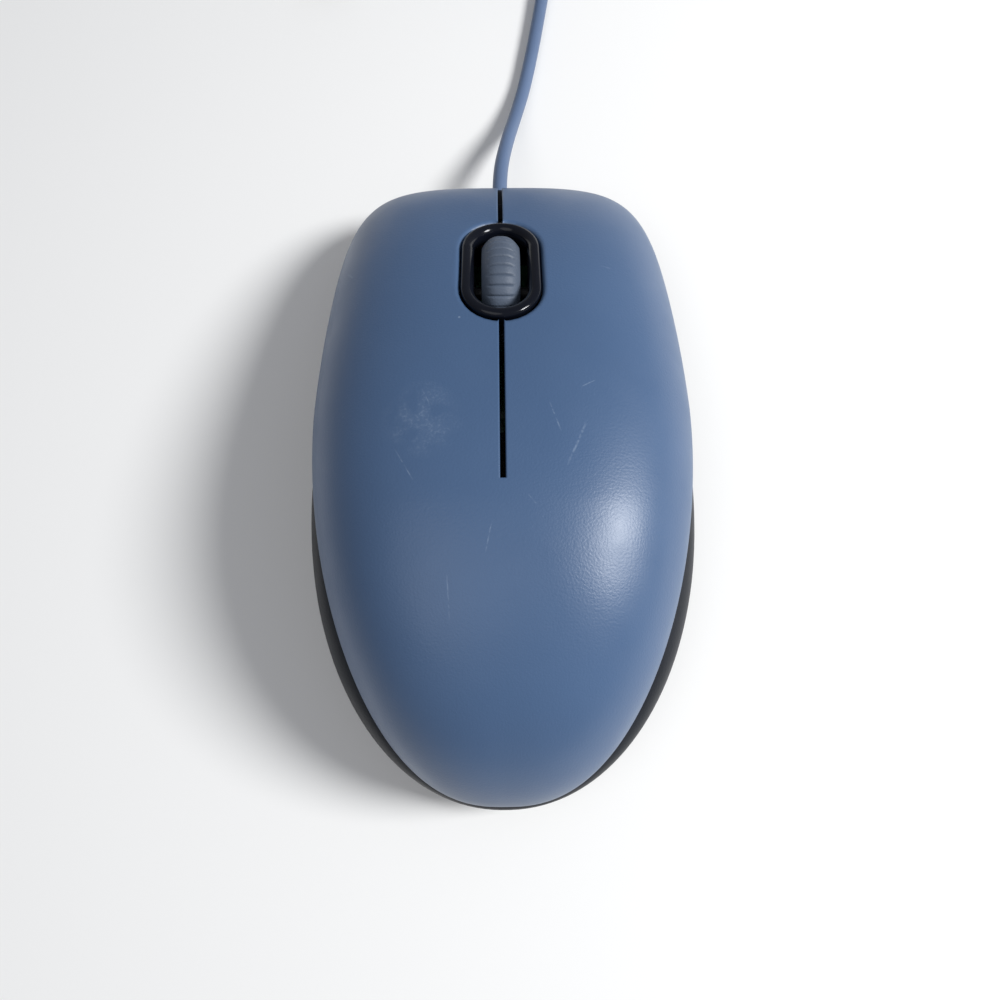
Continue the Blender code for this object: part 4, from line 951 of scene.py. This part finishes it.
def make_tie():
    shape = bmesh.new()
    rims, ring = start_ring(shape, GRIP_SEGMENTS)
    middle = (TIE_LOW + TIE_HIGH) / 2
    half_x, half_z = (TIE_HIGH.x - TIE_LOW.x) / 2, (TIE_HIGH.z - TIE_LOW.z) / 2
    for i, vert in enumerate(ring):
        x, z = squircle(half_x, half_z, 2 * math.pi * i / len(ring), TIE_SQUARENESS)
        vert.co = (middle.x + x, TIE_LOW.y, middle.z + z)
    for _ in range(TIE_STEPS):
        rims, fresh = extrude_rims(shape, rims)
        bmesh.ops.translate(shape, verts=list(fresh), vec=(0, (TIE_HIGH.y - TIE_LOW.y) / TIE_STEPS, 0))
    bmesh.ops.recalc_face_normals(shape, faces=shape.faces)
    if max(shape.faces, key=lambda face: face.calc_center_median().x).normal.x < 0:
        bmesh.ops.reverse_faces(shape, faces=shape.faces)
    return to_object("tie", shape, STRAP, thickness=TIE_SHEET, sharp=40)


STRAP = moulded("strap", (0.02, 0.02, 0.022), 0.6, grain=5000.0, grain_depth=0.0001, wear=0.15)
grip = make_grip()
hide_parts("usb_plug_body")
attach(grip, "case")
tie = make_tie()
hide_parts("cable_tie")
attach(tie, "case")

# ---- Feet, label and screw ------------------------------------------------------
# Two slick black pads with rounded ends, a blank label film, and the plated screw under the rear pad.


def make_foot(node):
    low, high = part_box(node)
    middle = (low + high) / 2
    half_y = (high.y - low.y) / 2
    points = stadium(half_y, (high.x - low.x) / 2, 0, low.z, count=20)
    shape = bmesh.new()
    bmesh.ops.create_circle(shape, segments=len(points), radius=1, cap_ends=True)
    shape.verts.ensure_lookup_table()
    for vert, point in zip(shape.verts, points):
        vert.co = (middle.x - point.y, middle.y + point.x, low.z)
    raised = bmesh.ops.extrude_face_region(shape, geom=list(shape.faces))["geom"]
    tops = [item for item in raised if isinstance(item, bmesh.types.BMVert)]
    bmesh.ops.translate(shape, verts=tops, vec=(0, 0, high.z - low.z))
    bmesh.ops.recalc_face_normals(shape, faces=shape.faces)
    rims = [edge for edge in shape.edges if abs(edge.verts[0].co.z - edge.verts[1].co.z) < 1e-7]
    bmesh.ops.bevel(shape, geom=rims, offset=0.0002, segments=2, affect="EDGES", profile=0.5, material=-1)
    return to_object(f"pad_{node}", shape, SLICK, sharp=50)


SLICK = moulded("slick_foot", (0.02, 0.02, 0.021), 0.28, grain=1200.0, grain_depth=0.00001, wear=0.12)
for foot in ("front_foot", "rear_foot"):
    pad = make_foot(foot)
    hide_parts(foot)
    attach(pad, "case")

# ---- Parts inside ---------------------------------------------------------------
# Board, switches, optics, wires and connectors keep their solids; each gets the finish of its stock.

FINISHES = {
    "hub_plastic": (moulded("hub_plastic", (0.02, 0.02, 0.022), 0.5), ["wheel_hub"]),
    "board_laminate": (moulded("board_laminate", (0.03, 0.15, 0.06), 0.38, grain=700.0, tint=0.25, coat=0.3),
                       ["circuit_board"]),
    "switch_black": (moulded("switch_black", (0.015, 0.015, 0.016), 0.4),
                     ["left_switch_body", "right_switch_body", "middle_switch_body", "sensor_chip",
                      "led_clip", "usb_plug_tongue"]),
    "switch_white": (moulded("switch_white", (0.72, 0.71, 0.66), 0.42, tint=0.05),
                     ["encoder_rotor", "middle_switch_stem", "board_header", "header_plug"]),
    "switch_red": (moulded("switch_red", (0.48, 0.03, 0.02), 0.38),
                   ["left_switch_plunger", "right_switch_plunger"]),
    "encoder_grey": (moulded("encoder_grey", (0.12, 0.12, 0.13), 0.5), ["encoder_housing"]),
    "led_red": (moulded("led_red", (0.62, 0.04, 0.03), 0.12, grain_depth=0.000002, coat=0.5), ["sensor_led"]),
    "steel": (moulded("steel", (0.62, 0.62, 0.63), 0.30, grain=1500.0, grain_depth=0.00001, metallic=1.0),
              ["case_screw", "board_crystal", "usb_plug_shell"]),
    "gold": (moulded("gold", (0.83, 0.60, 0.24), 0.25, grain_depth=0.000004, metallic=1.0),
             [f"usb_contact_{i}" for i in range(1, 5)]),
    "label_paper": (moulded("label_paper", (0.36, 0.37, 0.39), 0.45, grain=6000.0), ["rating_label"]),
    "capacitor_sleeve": (moulded("capacitor_sleeve", (0.02, 0.03, 0.10), 0.32, coat=0.3),
                         ["board_capacitor"]),
    "wire_red": (moulded("wire_red", (0.45, 0.02, 0.02), 0.42), ["wire_1"]),
    "wire_white": (moulded("wire_white", (0.7, 0.7, 0.67), 0.42, tint=0.05), ["wire_2"]),
    "wire_green": (moulded("wire_green", (0.02, 0.26, 0.06), 0.42), ["wire_3"]),
    "wire_black": (moulded("wire_black", (0.02, 0.02, 0.02), 0.42), ["wire_4"]),
}


def clear_plastic():
    look, tree, shader = new_material("clear_plastic")
    place = add_node(tree, "ShaderNodeTexCoord").outputs["Object"]
    haze = add_node(tree, "ShaderNodeTexNoise", [("Vector", place), ("Scale", 400.0), ("Detail", 3.0)])
    rough = add_node(tree, "ShaderNodeMapRange", [("Value", haze.outputs["Fac"]), ("To Min", 0.02),
                                                  ("To Max", 0.12)])
    tree.links.new(rough.outputs["Result"], shader.inputs["Roughness"])
    shader.inputs["Base Color"].default_value = (0.86, 0.90, 0.92, 1)
    shader.inputs["Transmission Weight"].default_value = 0.9
    shader.inputs["IOR"].default_value = 1.49
    return look


FINISHES["clear_plastic"] = (clear_plastic(), ["sensor_lens"])
for look, names in FINISHES.values():
    for node_name in names:
        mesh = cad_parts[node_name].data
        mesh.materials.clear()
        mesh.materials.append(look)
